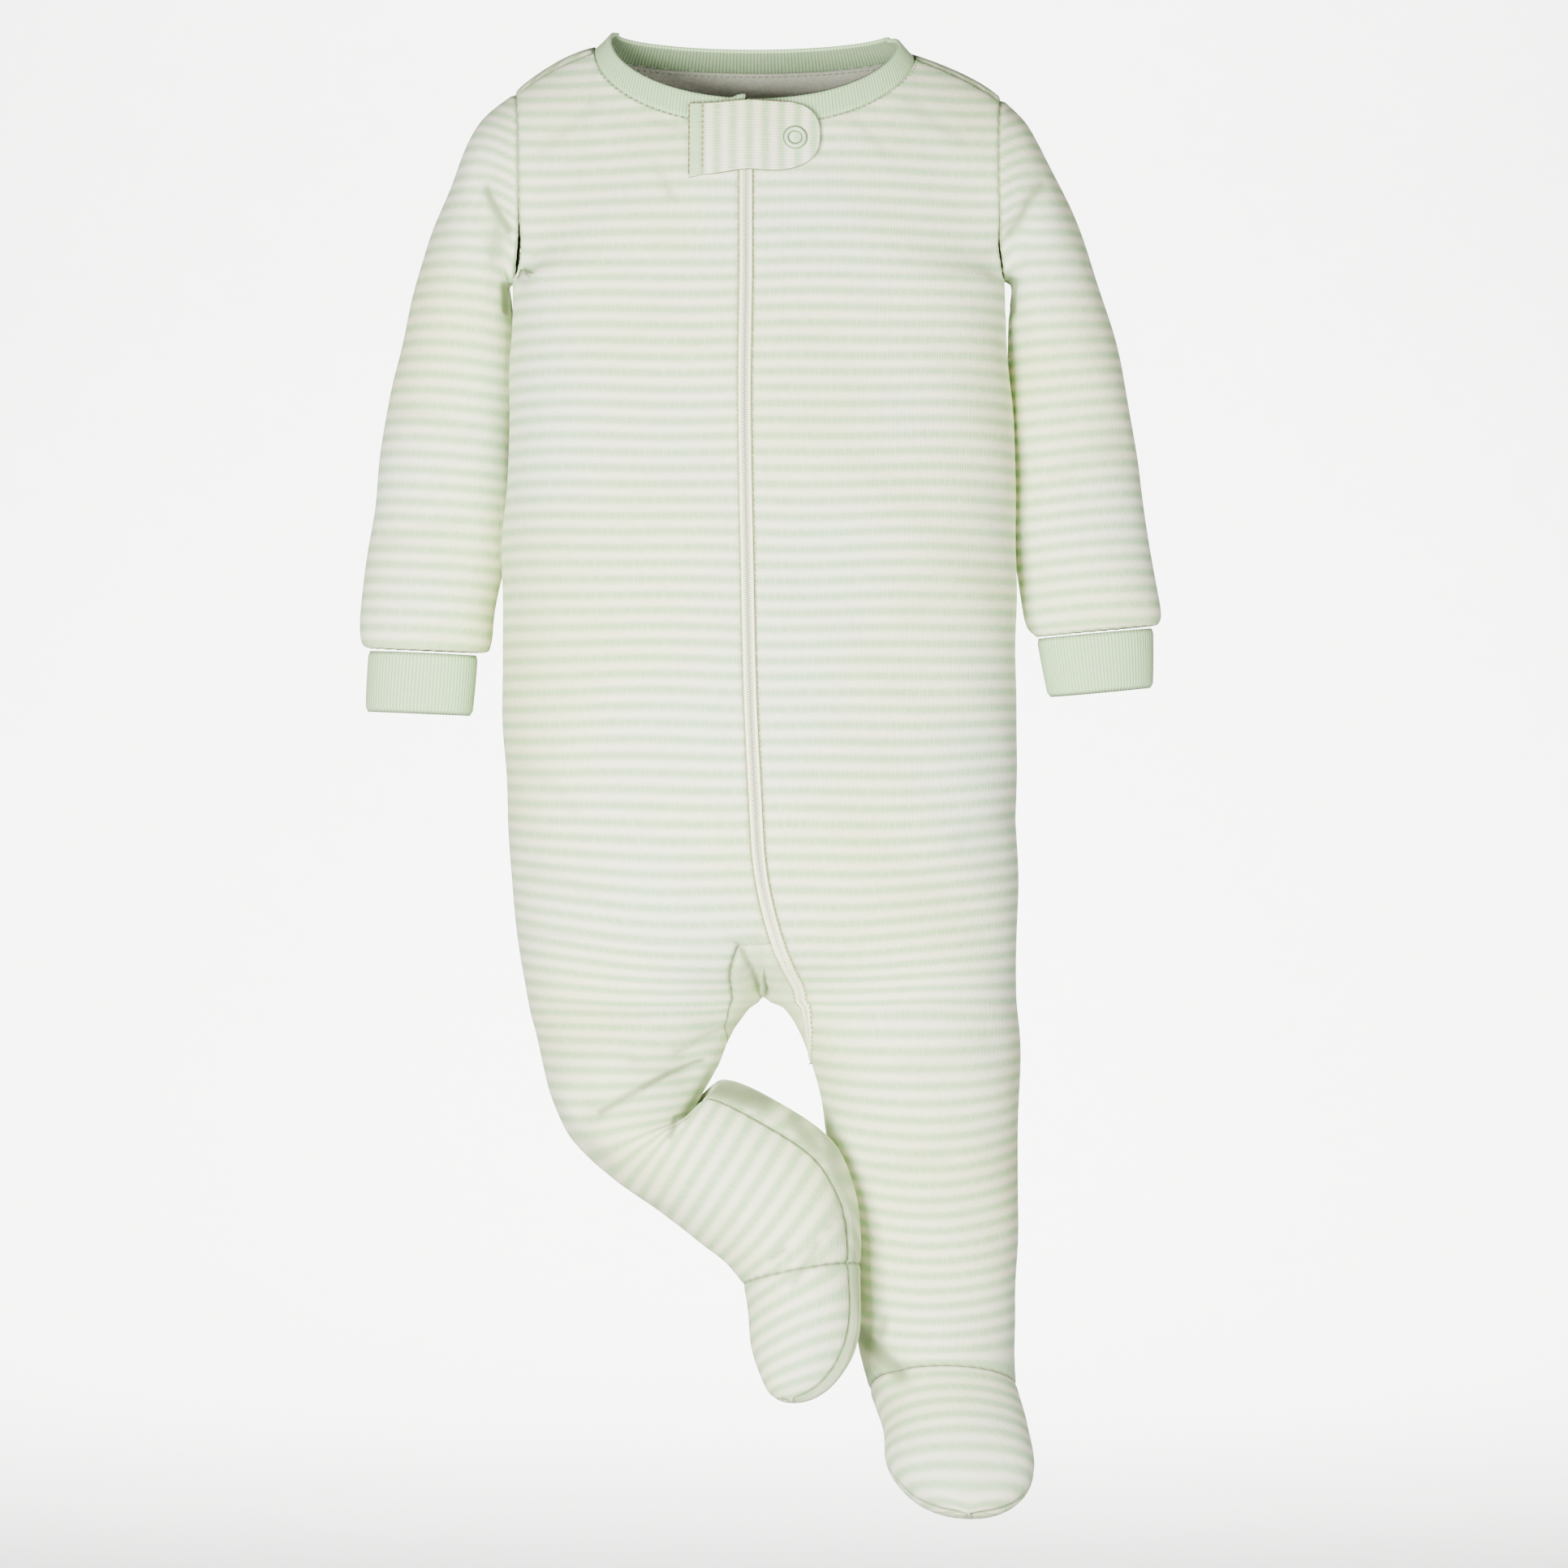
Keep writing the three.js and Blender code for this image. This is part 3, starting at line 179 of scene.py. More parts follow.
# How the stripes bend on each leg: between two levels they skew by a share of their distance from its middle
# and sag by some millimetres; on the foot they sag by others
stripeBends = {
    -1: {"first": 12, "last": 19, "skew": 0.42, "sag": 0, "footSag": 2},
    1: {"first": 6.5, "last": 18, "skew": 0, "sag": 4.8, "footSag": 6},
}


def xyz(x, y, z):
    return np.stack(np.broadcast_arrays(x, y, z), -1).astype(float)


def mix(a, b, share):
    return a + (b - a) * share


def unit(vectors):
    return vectors / np.maximum(np.linalg.norm(vectors, axis=-1, keepdims=True), 1e-9)


# Cubic Bezier curve: (1-u)^3 a + 3(1-u)^2 u b + 3(1-u) u^2 c + u^3 d, with the handles a, b, c, d on axis -2
def bezier(handles, u):
    w = 1 - u
    weights = np.stack([w**3, 3 * w * w * u, 3 * w * u * u, u**3], -1)
    return (weights[..., None] * handles).sum(-2)


# Smooth curve through knots: cubic Hermite between them, each slope the difference of the two neighbours
def through(knots, pick, at):
    last = len(knots) - 1
    i = np.clip(np.searchsorted(knots, at) - 1, 0, last - 1)
    low, high = pick(i), pick(i + 1)
    spread = lambda values: np.reshape(values, np.shape(values) + (1,) * (low.ndim - np.ndim(values)))

    def slope(k):
        before, after = np.maximum(k - 1, 0), np.minimum(k + 1, last)
        return (pick(after) - pick(before)) / spread(knots[after] - knots[before])

    width = spread(knots[i + 1] - knots[i])
    t = spread(at - knots[i]) / width
    return (low * (2 * t**3 - 3 * t**2 + 1) + slope(i) * (t**3 - 2 * t**2 + t) * width
            + high * (3 * t**2 - 2 * t**3) + slope(i + 1) * (t**3 - t**2) * width)


# The armhole, a flat oval: share 0 is the tip of the shoulder and 1 the armpit, forward is -1 to the front
def armhole(side, share, forward):
    tip, cut = shoulderTip[side], suitCut
    half = (cut["armholeDrop"] - tip["drop"]) / 2
    bow = 2.5 * np.sin(np.pi * share) + (1 - share) * tip["inward"]
    return xyz(side * (cut["chestHalf"] - bow), forward * cut["armholeReach"] * np.sin(np.pi * share),
               -(tip["drop"] + half) + half * np.cos(np.pi * share))


# Handles of a half section above the armpits: the ridge turns down a quarter ellipse as share goes 0 to 1
def yokeHandles(side, forward, share):
    cut, tip = suitCut, shoulderTip[side]
    depth = trunkRows[0, 5 if forward < 0 else 6]
    swing = np.pi / 2 * share

    def fall(x, ridge):
        drop = (ridge + cut["armholeDrop"]) * (1 - np.cos(swing))
        return xyz(x, forward * depth * np.sin(swing), ridge - drop)

    first = fall(cut["zipX"], cut["collarRise"])
    second = fall(mix(side * 40, cut["zipX"] + side * cut["chestHalf"] * cut["chestFull"], share),
                  cut["collarRise"] - 1)
    last = armhole(side, share, forward)
    inward = xyz(-side * mix(18, 0, share**6),
                 forward * (depth * cut["chestFull"] * share**5 + 3 * np.sin(np.pi * share)),
                 mix(tip["rise"], 0, np.minimum(1, 1.6 * share)))
    return np.stack([first, second, last + inward, last], -2)


def trunkHandles(row, side, forward):
    middleZ, sideZ, middleX, rightX, leftX, front, back, reach, opened, full = row
    depth = forward * (front if forward < 0 else back)
    edgeX = rightX if side < 0 else leftX
    tube = np.array([(middleX, halfEllipse * depth, middleZ), (edgeX, halfEllipse * depth, sideZ)])
    wide = np.array([(mix(middleX, edgeX, full), depth, middleZ), (edgeX, depth * full, sideZ)])
    inner = mix(tube, wide, opened)
    return np.array([(middleX, depth * reach, middleZ), inner[0], inner[1], (edgeX, 0, sideZ)])


def legHandles(row, side, forward):
    innerX, innerZ, outerX, outerZ, y, front, back, turn, lean, opened = row
    inner, outer = np.array([innerX, y, innerZ]), np.array([outerX, y, outerZ])
    middle = (inner + outer) / 2
    across = inner - middle
    turn, lean, mean = np.radians(turn), np.radians(lean), (front + back) / 2
    level = np.array([0, -1, 0])
    up = np.cross(unit(across), level) * side
    ahead = level * np.cos(lean) + up * np.sin(lean)
    seam = across * np.cos(turn) + ahead * mean * np.sin(turn)
    swell = ahead * mean * np.cos(turn) - across * np.sin(turn)
    first, last = middle + seam, middle - seam
    handle = swell * (-forward * halfEllipse * (front if forward < 0 else back) / mean)
    return np.array([first, first + handle + (last - first) * opened * 0.6, last + handle, last])


def bodyHalf(side, forward):
    trunk = [trunkHandles(row, side, forward) for row in trunkRows]
    rows = [trunk[0] + (0, 0, 20), *trunk, *[legHandles(row, side, forward) for row in legRows[side]],
            np.array([toes[side]] * 4, float)]
    rows = np.array(rows)
    gaps = np.linalg.norm(np.diff(rows, axis=0), axis=-1).mean(-1)
    return rows, np.concatenate([[0], np.cumsum(gaps)])


halves = {(side, forward): bodyHalf(side, forward) for side in (-1, 1) for forward in (-1, 1)}


# One half of the body: across 0 is the middle line or inseam, 1 the side; level 0 the shoulder, 1 the armpits
def halfPoint(side, forward, across, level):
    rows, knots = halves[side, forward]
    across, level = np.broadcast_arrays(np.asarray(across, float), np.asarray(level, float))
    i = np.clip(np.floor(level).astype(int), 0, len(knots) - 2)
    at = mix(knots[i], knots[i + 1], level - i)
    below = through(knots, lambda k: rows[k], np.maximum(at, 0))
    above = yokeHandles(side, forward, np.clip(level, 0, 1))
    return bezier(np.where((level <= 1)[..., None, None], above, below), across)


def bodyPoint(forward, across, level):
    right = halfPoint(-1, forward, np.abs(across), level)
    left = halfPoint(1, forward, np.abs(across), level)
    return np.where((np.asarray(across) < 0)[..., None], right, left)


front = lambda across, level: bodyPoint(-1, across, level)
back = lambda across, level: bodyPoint(1, across, level)


def legSurface(side, forward):
    return lambda across, level: halfPoint(side, forward, side * np.asarray(across), level)


# Outward normals by central differences; outward is the sign that turns them out
def normalsOf(surface, a, b, outward):
    step = 2e-3
    along = surface(a + step, b) - surface(a - step, b)
    down = surface(a, b + step) - surface(a, b - step)
    return unit(np.cross(along, down) * outward)


# Across and level of the front's points (x, z), by Newton's steps
def locate(x, z, across, level):
    x, z, across, level = (np.array(value, float) for value in np.broadcast_arrays(x, z, across, level))
    step = 1e-3
    for _ in range(30):
        here = front(across, level)
        toSide = (front(across + step, level) - here) / step
        down = (front(across, level + step) - here) / step
        dx, dz = x - here[..., 0], z - here[..., 2]
        area = toSide[..., 0] * down[..., 2] - down[..., 0] * toSide[..., 2]
        across += np.clip((dx * down[..., 2] - down[..., 0] * dz) / area, -0.1, 0.1)
        level += np.clip((toSide[..., 0] * dz - dx * toSide[..., 2]) / area, -0.3, 0.3)
    return across, level


# Halves an interval until it closes on the place where the test turns from true to false
def turning(test, low, high):
    low, high = np.array(low, float), np.array(high, float)
    for _ in range(30):
        middle = (low + high) / 2
        inside = test(middle)
        low, high = np.where(inside, middle, low), np.where(inside, high, middle)
    return (low + high) / 2


def insideNeck(forward, across, level):
    drop = suitCut["neckFrontDrop"] if forward < 0 else suitCut["neckBackDrop"]
    place = bodyPoint(forward, across, level)
    x = (place[..., 0] - suitCut["neckMiddle"]) / suitCut["neckHalfWidth"]
    return x**2 + (place[..., 2] / drop) ** 2 < 1


def neckLevel(forward, across):
    across = np.asarray(across, float)
    return turning(lambda level: insideNeck(forward, across, level), across * 0, across * 0 + 0.9)


def neckColumn(forward, side, level):
    level = np.asarray(level, float)
    return turning(lambda across: insideNeck(forward, side * across, level), level * 0 + 0.2, level * 0 + 1)


def marksOf(path, across, acrossStep, level, levelStep):
    places = np.array(path, float)
    order = np.arange(len(places))
    guess = (across + acrossStep * order, level + levelStep * order)
    return np.stack(locate(places[:, 0], places[:, 1], *guess), -1)


# Marks of (across, level) along the zip's middle line and the gusset's left edge
zipMarks = np.vstack([[(0, 0), (0, 2.5), (0, 4.6)], marksOf(zipPath, 0.02, 0.02, 5, 0.4),
                      [(0.085, 9.5), (0.022, zipEndLevel)]])
gussetMarks = np.vstack([marksOf(gussetPath, -0.08, -0.02, 5.9, 0.4), [(-0.09, 9), (0, gussetEndLevel)]])
gussetTop = gussetMarks[0, 1]


def onMarks(marks, level):
    pick = lambda k: marks[k, 0]
    return through(marks[:, 1], pick, np.asarray(level, float))


# Across of a line beside the zip, offset in millimetres to the wearer's left, square to the zip
def besideZip(level, offset):
    level, offset = np.broadcast_arrays(np.asarray(level, float), np.asarray(offset, float))
    across = onMarks(zipMarks, level)
    step = 1e-3
    slope = (onMarks(zipMarks, level + step) - onMarks(zipMarks, level - step)) / (2 * step)
    onLeg = (level > crotchLevel)[..., None]
    place = lambda a, b: np.where(onLeg, legSurface(1, -1)(np.maximum(a, 0), b), front(a, b))
    here = place(across, level)
    toSide = (place(across + step, level) - here) / step
    down = (place(across + slope * step, level + step) - here) / step
    perMm = np.linalg.norm(down, axis=-1) / np.linalg.norm(np.cross(toSide, down), axis=-1)
    moved = across + offset * perMm
    return np.where(level > crotchLevel, np.maximum(moved, 0), moved)


# A flat oval: share (1 - cos(pi around)) / 2 of the way from outer to inner, half * sin(pi around) deep
def ringPoint(rows, around):
    share = (1 - np.cos(np.pi * around)) / 2
    outerX, outerZ, innerX, innerZ, y, half = np.moveaxis(rows, -1, 0)
    return xyz(mix(outerX, innerX, share), y + half * np.sin(np.pi * around), mix(outerZ, innerZ, share))


# Sleeves and cuffs as tubes: around is 0 on top and 1 at the underarm, negative in front; along counts rows
def tubeSurface(rows, side=None):
    whole = rows if side is None else np.vstack([rows[:1], rows])

    def pickAround(around):
        def pick(k):
            ring = ringPoint(whole[k], around)
            if side is None:
                return ring
            return np.where((k == 0)[..., None], armhole(side, np.abs(around), np.sign(around)), ring)
        return pick

    middle = pickAround(np.full(len(whole), 0.5))(np.arange(len(whole)))
    knots = np.concatenate([[0], np.cumsum(np.linalg.norm(np.diff(middle, axis=0), axis=-1))])

    def place(around, along):
        around, along = np.broadcast_arrays(np.asarray(around, float), np.asarray(along, float))
        i = np.clip(np.floor(along).astype(int), 0, len(knots) - 2)
        return through(knots, pickAround(around), mix(knots[i], knots[i + 1], along - i))
    return place


print("surfaces ready, gusset top at level", round(float(gussetTop), 3))


# Steps from 0 to 1 over a length in millimetres, with a few close ones beside each end for the seam's valley
def seamSteps(length, spacing, ends=(True, True)):
    near = np.array([0, 0.45, 1.0, 1.8, 3.0]) / length
    low = near if ends[0] else near[:1]
    high = 1 - (near if ends[1] else near[:1])[::-1]
    count = max(2, int(round((high[0] - low[-1]) * length / spacing)))
    return np.concatenate([low, np.linspace(low[-1], high[0], count + 1)[1:-1], high])


# Distance in millimetres along each row or column of a grid of points, from its first point
def distanceAlong(points, axis):
    gaps = np.linalg.norm(np.diff(points, axis=axis), axis=-1)
    start = np.zeros_like(np.take(gaps, [0], axis))
    return np.concatenate([start, np.cumsum(gaps, axis)], axis)


# Values of a path's points at some distances along it
def sampled(values, run, at):
    return np.stack([np.interp(at, run, values[:, k]) for k in range(3)], -1)


# Distance of points from the line between two ends
def awayFrom(points, start, end):
    start = np.array(start, float)
    run = np.array(end, float) - start
    share = np.clip(((points - start) @ run) / (run @ run), 0, 1)
    return np.linalg.norm(points - start - share[..., None] * run, axis=-1)


# Pressed in along lines: the sum of depth * exp(-(distance to the line / half width)^2)
def pressed(points, lines):
    return sum(row[6] * np.exp(-((awayFrom(points, row[:3], row[3:6]) / row[7]) ** 2)) for row in lines)


# Creases on what faces the front: the row's value in a column (4 depth, 6 shade)
# * exp(-(distance seen from the front / half width)^2), the deepest of all
def creased(points, normals, rows, column):
    flat = points[..., [0, 2]]
    depths = [row[column] * np.exp(-((awayFrom(flat, row[:2], row[2:4]) / row[5]) ** 2)) for row in rows]
    return np.max(depths, 0) * np.clip(0.3 - 3 * normals[..., 1], 0, 1)


# Soft unevenness of worn cloth: a few crossed sine waves, 20 to 60 mm long, less than a millimetre high
def drape(points):
    x, y, z = points[..., 0], points[..., 1], points[..., 2]
    return (0.42 * np.sin(x / 13 + z / 24 + 1.3 * np.sin(z / 31)) + 0.32 * np.sin(x / 19 - z / 10.5 + y / 17)
            + 0.14 * np.sin(x / 7.5 + z / 6.1 + y / 11)
            + 0.3 * np.sin(z / 29 + x / 43 + 1.1 * np.sin(x / 27)))


# Millimetres, and the pucker as a share of the depth; points of patches closer than joined become one
seamLook = {"depth": 0.75, "width": 1.15, "pucker": 0.22, "puckerLength": 5.5, "joined": 0.02}


# One patch of cloth. seams names the edges of the grid that are sewn: top, bottom, low, high. Each seam is a
# valley exp(-(distance / width)^2), puckered by a sine wave along it.
def patch(points, normals, u, v, seams=""):
    across, down = distanceAlong(points, 1), distanceAlong(points, 0)
    away = {"low": across, "high": across[:, -1:] - across, "top": down, "bottom": down[-1:] - down}
    valley = np.zeros(points.shape[:-1])
    for edge in seams.split():
        run = down if edge in ("low", "high") else across
        pucker = 1 + seamLook["pucker"] * np.sin(2 * np.pi * run / seamLook["puckerLength"])
        valley = np.maximum(valley, pucker * np.exp(-((away[edge] / seamLook["width"]) ** 2)))
    return {"points": points, "normals": normals, "uv": np.stack([u, v], -1), "valley": valley}


# Corners of the faces of a grid of points, each turned the way that the normals point
def gridFaces(points, normals):
    rows, columns = points.shape[:2]
    index = np.arange(rows * columns).reshape(rows, columns)
    quads = np.stack([index[:-1, :-1], index[1:, :-1], index[1:, 1:], index[:-1, 1:]], -1).reshape(-1, 4)
    flat = points.reshape(-1, 3)
    facing = np.cross(flat[quads[:, 1]] - flat[quads[:, 0]], flat[quads[:, 2]] - flat[quads[:, 0]])
    agree = (facing * normals.reshape(-1, 3)[quads[:, 0]]).sum()
    return quads if agree > 0 else quads[:, ::-1]


def meshObject(name, points, faces, uv=None, materials=(), seam=None):
    mesh = bpy.data.meshes.new(name)
    mesh.from_pydata((np.asarray(points) * mm).tolist(), [], [list(face) for face in faces])
    if uv is not None:
        layer = mesh.uv_layers.new(name="cloth")
        corners = np.empty(len(mesh.loops), int)
        mesh.loops.foreach_get("vertex_index", corners)
        layer.data.foreach_set("uv", (np.asarray(uv)[corners] * mm).astype(np.float32).ravel())
    # The seam attribute is painted shade: how dark the seams' valleys, the creases and the knee's shadow are
    if seam is not None:
        mesh.attributes.new("seam", "FLOAT", "POINT").data.foreach_set("value", np.asarray(seam, np.float32))
    mesh.polygons.foreach_set("use_smooth", [True] * len(mesh.polygons))
    for material in materials:
        mesh.materials.append(material)
    mesh.update()
    piece = bpy.data.objects.new(name, mesh)
    bpy.context.scene.collection.objects.link(piece)
    return piece


# Joins patches where their points meet, presses the seams and folds in, paints shade into the seams and
# creases, and gives the cloth its wall
def clothPiece(name, patches, wall, materials, roughness=1):
    points = np.vstack([p["points"].reshape(-1, 3) for p in patches])
    normals = np.vstack([p["normals"].reshape(-1, 3) for p in patches])
    uv = np.vstack([p["uv"].reshape(-1, 2) for p in patches])
    valley = np.concatenate([p["valley"].ravel() for p in patches])
    faces, start = [], 0
    for p in patches:
        faces.append(gridFaces(p["points"], p["normals"]) + start)
        start += p["points"].shape[0] * p["points"].shape[1]
    faces = np.vstack(faces)
    places = np.round(points / seamLook["joined"]).astype(int)
    _, first, where = np.unique(places, axis=0, return_index=True, return_inverse=True)
    where = where.ravel()
    summed = np.zeros((len(first), 3))
    np.add.at(summed, where, normals)
    deepest = np.zeros(len(first))
    np.maximum.at(deepest, where, valley)
    points, uv, normals = points[first], uv[first], unit(summed)
    sink = seamLook["depth"] * deepest + pressed(points, largeFolds)
    sink += creased(points, normals, smallCreases, 4)
    edge = np.clip(1 - deepest, 0, 1)
    # Painted shade for the cloth's colour: the seams' valleys, the creases and, on the back, the knee
    shade = np.maximum(deepest, creased(points, normals, smallCreases, 6))
    if name == "back_cloth":
        shade = np.maximum(shade, creased(points, normals, kneeShade, 6))
    points = points + normals * (roughness * edge * drape(points) - sink)[:, None]
    faces = where[faces]
    quads = [list(dict.fromkeys(face)) for face in faces.tolist()]
    piece = meshObject(name, points, [face for face in quads if len(face) > 2], uv, materials, seam=shade)
    solidify = piece.modifiers.new("wall", "SOLIDIFY")
    solidify.thickness = wall * mm
    solidify.offset = -1
    solidify.use_even_offset = False
    solidify.material_offset = len(materials) - 1
    return piece


def linear(hexColour):
    values = np.array([int(hexColour[i:i + 2], 16) for i in (1, 3, 5)]) / 255
    values = np.where(values <= 0.04045, values / 12.92, ((values + 0.055) / 1.055) ** 2.4)
    return (*values, 1)


# A function that adds nodes to a material: inputs are values, colours or outputs to link, by name or number.
# It gives the node's first output, or the one asked for.
def adder(material):
    tree = material.node_tree

    def add(kind, inputs=None, output=0, **settings):
        node = tree.nodes.new("ShaderNode" + kind)
        for key, value in settings.items():
            setattr(node, key, value)
        for key, value in (inputs or {}).items():
            if isinstance(value, bpy.types.NodeSocket):
                tree.links.new(value, node.inputs[key])
            else:
                node.inputs[key].default_value = linear(value) if isinstance(value, str) else value
        return node.outputs[output]

    return add


def noise(add, place, scale, detail, **more):
    return add("TexNoise", {"Vector": place, "Scale": scale, "Detail": detail, **more})


def remap(add, value, low, high, toLow=0, toHigh=1, **settings):
    return add("MapRange", {0: value, 1: low, 2: high, 3: toLow, 4: toHigh}, **settings)


def blend(add, share, first, second, how="MIX"):
    return add("Mix", {0: share, 6: first, 7: second}, 2, data_type="RGBA", blend_type=how)


# first * times + plus
def scaled(add, first, times, plus):
    return add("Math", {0: first, 1: times, 2: plus}, operation="MULTIPLY_ADD")


def newMaterial(name, **shader):
    material = bpy.data.materials.new(name)
    material.use_nodes = True
    bsdf = material.node_tree.nodes["Principled BSDF"]
    for key, value in shader.items():
        bsdf.inputs[key.replace("_", " ")].default_value = value
    return material, adder(material)


def finished(material, add, colour, height, strength, distance):
    bsdf = material.node_tree.nodes["Principled BSDF"]
    bump = add("Bump", {"Strength": strength, "Distance": distance * mm, "Height": height})
    material.node_tree.links.new(colour, bsdf.inputs["Base Color"])
    material.node_tree.links.new(bump, bsdf.inputs["Normal"])
    return material


# Sizes in millimetres: pitch of the stripes, fuzz at their edges, wales of the knit, grain of the yarn
# Its seam and crease colours are painted shade, mixed in where seams, creases and shadows are
jerseyLook = {
    "green": "#AECF9C", "cream": "#EFEED6", "seam": "#9DB283", "creaseShade": "#6E7A4C", "pitch": 6.6,
    "footPitch": 7.1, "softness": 1.1, "fuzz": 1.1, "wale": 1.15, "grain": 1.6, "bump": 0.5,
}
knitShine = {"Sheen_Weight": 0.08, "Sheen_Roughness": 0.6}


# Yarn-dyed cotton jersey: matt, a soft short nap, stripes a little fuzzy where the knit rows change colour
def jerseyMaterial(name, green, cream, pitch):
    material, add = newMaterial(name, Roughness=0.88, **knitShine)
    look = jerseyLook
    cloth = add("UVMap", uv_map="cloth")
    u = add("SeparateXYZ", {0: cloth})
    shift = scaled(add, noise(add, cloth, 900, 2), look["fuzz"] * mm, u.node.outputs[1])
    wave = add("Math", {0: scaled(add, shift, 2 * math.pi / (pitch * mm), 0)}, operation="SINE")
    share = remap(add, wave, -look["softness"], look["softness"], interpolation_type="SMOOTHSTEP")
    tone = remap(add, noise(add, cloth, 320, 4), 0.3, 0.7, 0.95, 1.02)
    colour = blend(add, 1, blend(add, share, green, cream), tone, "MULTIPLY")
    # The yarn's own unevenness shows as short streaks across the stripes, 1 mm wide and 8 mm long
    streaks = noise(add, add("Mapping", {"Vector": cloth, "Scale": (1000, 130, 1)}), 1, 2)
    colour = blend(add, remap(add, streaks, 0.45, 0.8, 0, 0.42), colour, cream)
    # Broad random patches a little yellower, 60 to 100 mm across
    patches = noise(add, add("TexCoord", output="Object"), 13, 3)
    colour = blend(add, remap(add, patches, 0.35, 0.68), colour, "#FFFDE0", "MULTIPLY")
    # Painted shade where the two edges turn into the seam and less light reaches the yarn
    seam = add("Attribute", output="Fac", attribute_name="seam")
    colour = blend(add, remap(add, seam, 0, 1, 0, 0.85), colour, look["seam"])
    # Painted shade inside the sharpest creases, in the bent leg's shadow and under the hanging thigh, where
    # hardly any light is left
    colour = blend(add, remap(add, seam, 0.5, 1.6, 0, 0.9), colour, look["creaseShade"])
    # Wales 1.15 mm apart, drawn a little coarser than the real 0.8 mm so that they show
    column = add("Math", {0: u, 1: 2 * math.pi / (look["wale"] * mm)}, operation="MULTIPLY")
    wale = add("Math", {0: column}, operation="COSINE")
    grain = noise(add, cloth, 1000 / look["grain"], 3, Roughness=0.65)
    return finished(material, add, colour, scaled(add, wale, 0.16, grain), 0.5, look["bump"])


ribLook = {"green": "#B6D59E", "valley": "#98B682", "pitch": 1.5, "height": 0.28}


# Rib knit: matt columns of stitches 1.5 mm apart that stand up, with painted shade in the valleys between them
def ribMaterial(name, ridge, valley):
    material, add = newMaterial(name, Roughness=0.9, **knitShine)
    cloth = add("UVMap", uv_map="cloth")
    fuzz = noise(add, cloth, 1100, 2)
    column = scaled(add, add("SeparateXYZ", {0: cloth}), 2 * math.pi / (ribLook["pitch"] * mm), fuzz)
    wave = add("Math", {0: column}, operation="COSINE")
    share = remap(add, wave, -1, 0.4, interpolation_type="SMOOTHSTEP")
    mottle = noise(add, cloth, 420, 4)
    tone = remap(add, mottle, 0.3, 0.7, 0.95, 1.03)
    colour = blend(add, 1, blend(add, share, valley, ridge), tone, "MULTIPLY")
    return finished(material, add, colour, scaled(add, mottle, 0.5, share), 0.6, ribLook["height"])


# A plain finish with a fine grain: noise of a size in millimetres varies the colour and is the bump
def grainMaterial(name, light, dark, size, bumpHeight, **shader):
    material, add = newMaterial(name, **shader)
    grain = noise(add, add("TexCoord", output="Object"), 1000 / size, 4, Roughness=0.6)
    colour = blend(add, remap(add, grain, 0.3, 0.7), dark, light)
    return finished(material, add, colour, grain, 0.5, bumpHeight)


green, cream, pitch = jerseyLook["green"], jerseyLook["cream"], jerseyLook["pitch"]
stripedJersey = jerseyMaterial("striped_cotton_jersey", green, cream, pitch)
gussetJersey = jerseyMaterial("striped_cotton_jersey_gusset", "#BFD6A8", "#DCE2BF", pitch)
footJersey = jerseyMaterial("striped_cotton_jersey_foot", green, cream, jerseyLook["footPitch"])
# The reverse of the same jersey: plain grey cream and a little rougher
jerseyBack = grainMaterial("cotton_jersey_reverse", "#BDBDAA", "#A9A996", 1.4, 0.3, Roughness=0.92,
                           Sheen_Weight=0.2)
ribKnit = ribMaterial("cotton_rib_knit", ribLook["green"], ribLook["valley"])
# The inner face of the neckband, the same rib loops seen from behind, painted darker and greener as the shade
# inside the neck
ribInsideShade = ribMaterial("cotton_rib_knit_reverse_painted_shade", "#869C74", "#687E58")
# Woven polyester zip tape, smoother and a little shinier than the cotton
zipTape = grainMaterial("woven_polyester_tape", "#FBFCD4", "#F2F3C6", 0.6, 0.12, Roughness=0.7,
                        Sheen_Weight=0.1)
# Nylon coil: a dull plastic shine
coilNylon = grainMaterial("nylon_zip_coil", "#F6F6D8", "#EAEAC8", 0.8, 0.05, Roughness=0.42, IOR=1.53)
# Painted zinc: smooth, a shade cooler than the cloth, with a soft highlight
sliderPaint = grainMaterial("painted_zinc_slider", "#DFE3D3", "#D0D5C4", 1.5, 0.04, Roughness=0.35, IOR=1.5)
# Enamelled brass in the cloth's green, glossier, and a darker copy of it as painted shade at its rim
snapEnamel = grainMaterial("enamelled_brass_snap", "#C9DABA", "#BACDA9", 2.0, 0.03, Roughness=0.3, IOR=1.5)
snapShade = grainMaterial("enamelled_brass_snap_rim_painted_shade", "#6F9158", "#5F8049", 2.0, 0.03, Roughness=0.5, IOR=1.5)
# The turned edge of the tab, a tight fold of jersey that catches little light: its dark tan is painted shade
tabEdgeShade = grainMaterial("cotton_jersey_turned_edge_painted_shade", "#868162", "#6F6B4E", 1.0, 0.2, Roughness=0.9)
# Cotton sewing thread: matt and fine, darker than the cloth so that the stitches show
greenThread = grainMaterial("cotton_sewing_thread_green", "#8FA67D", "#788F66", 0.5, 0.08, Roughness=0.75)
tanThread = grainMaterial("cotton_sewing_thread_tan", "#B3A274", "#97885C", 0.5, 0.08, Roughness=0.75)
print("materials ready")

# Height of cloth above the armpit row as a length along the chest: distance down the front at across 0.35
chestLevels = np.linspace(0, 1, 80)
chestLine = front(0.35 + 0 * chestLevels, chestLevels)
chestRun = distanceAlong(chestLine, 0)
chestHeights = chestLine[::-1, 2]
chestV = (chestRun[-1] - chestRun)[::-1]


def stripeAboveArmpits(z):
    top = chestV[-1] + (z - chestHeights[-1])
    return np.where(z > chestHeights[-1], top, np.interp(z, chestHeights, chestV))


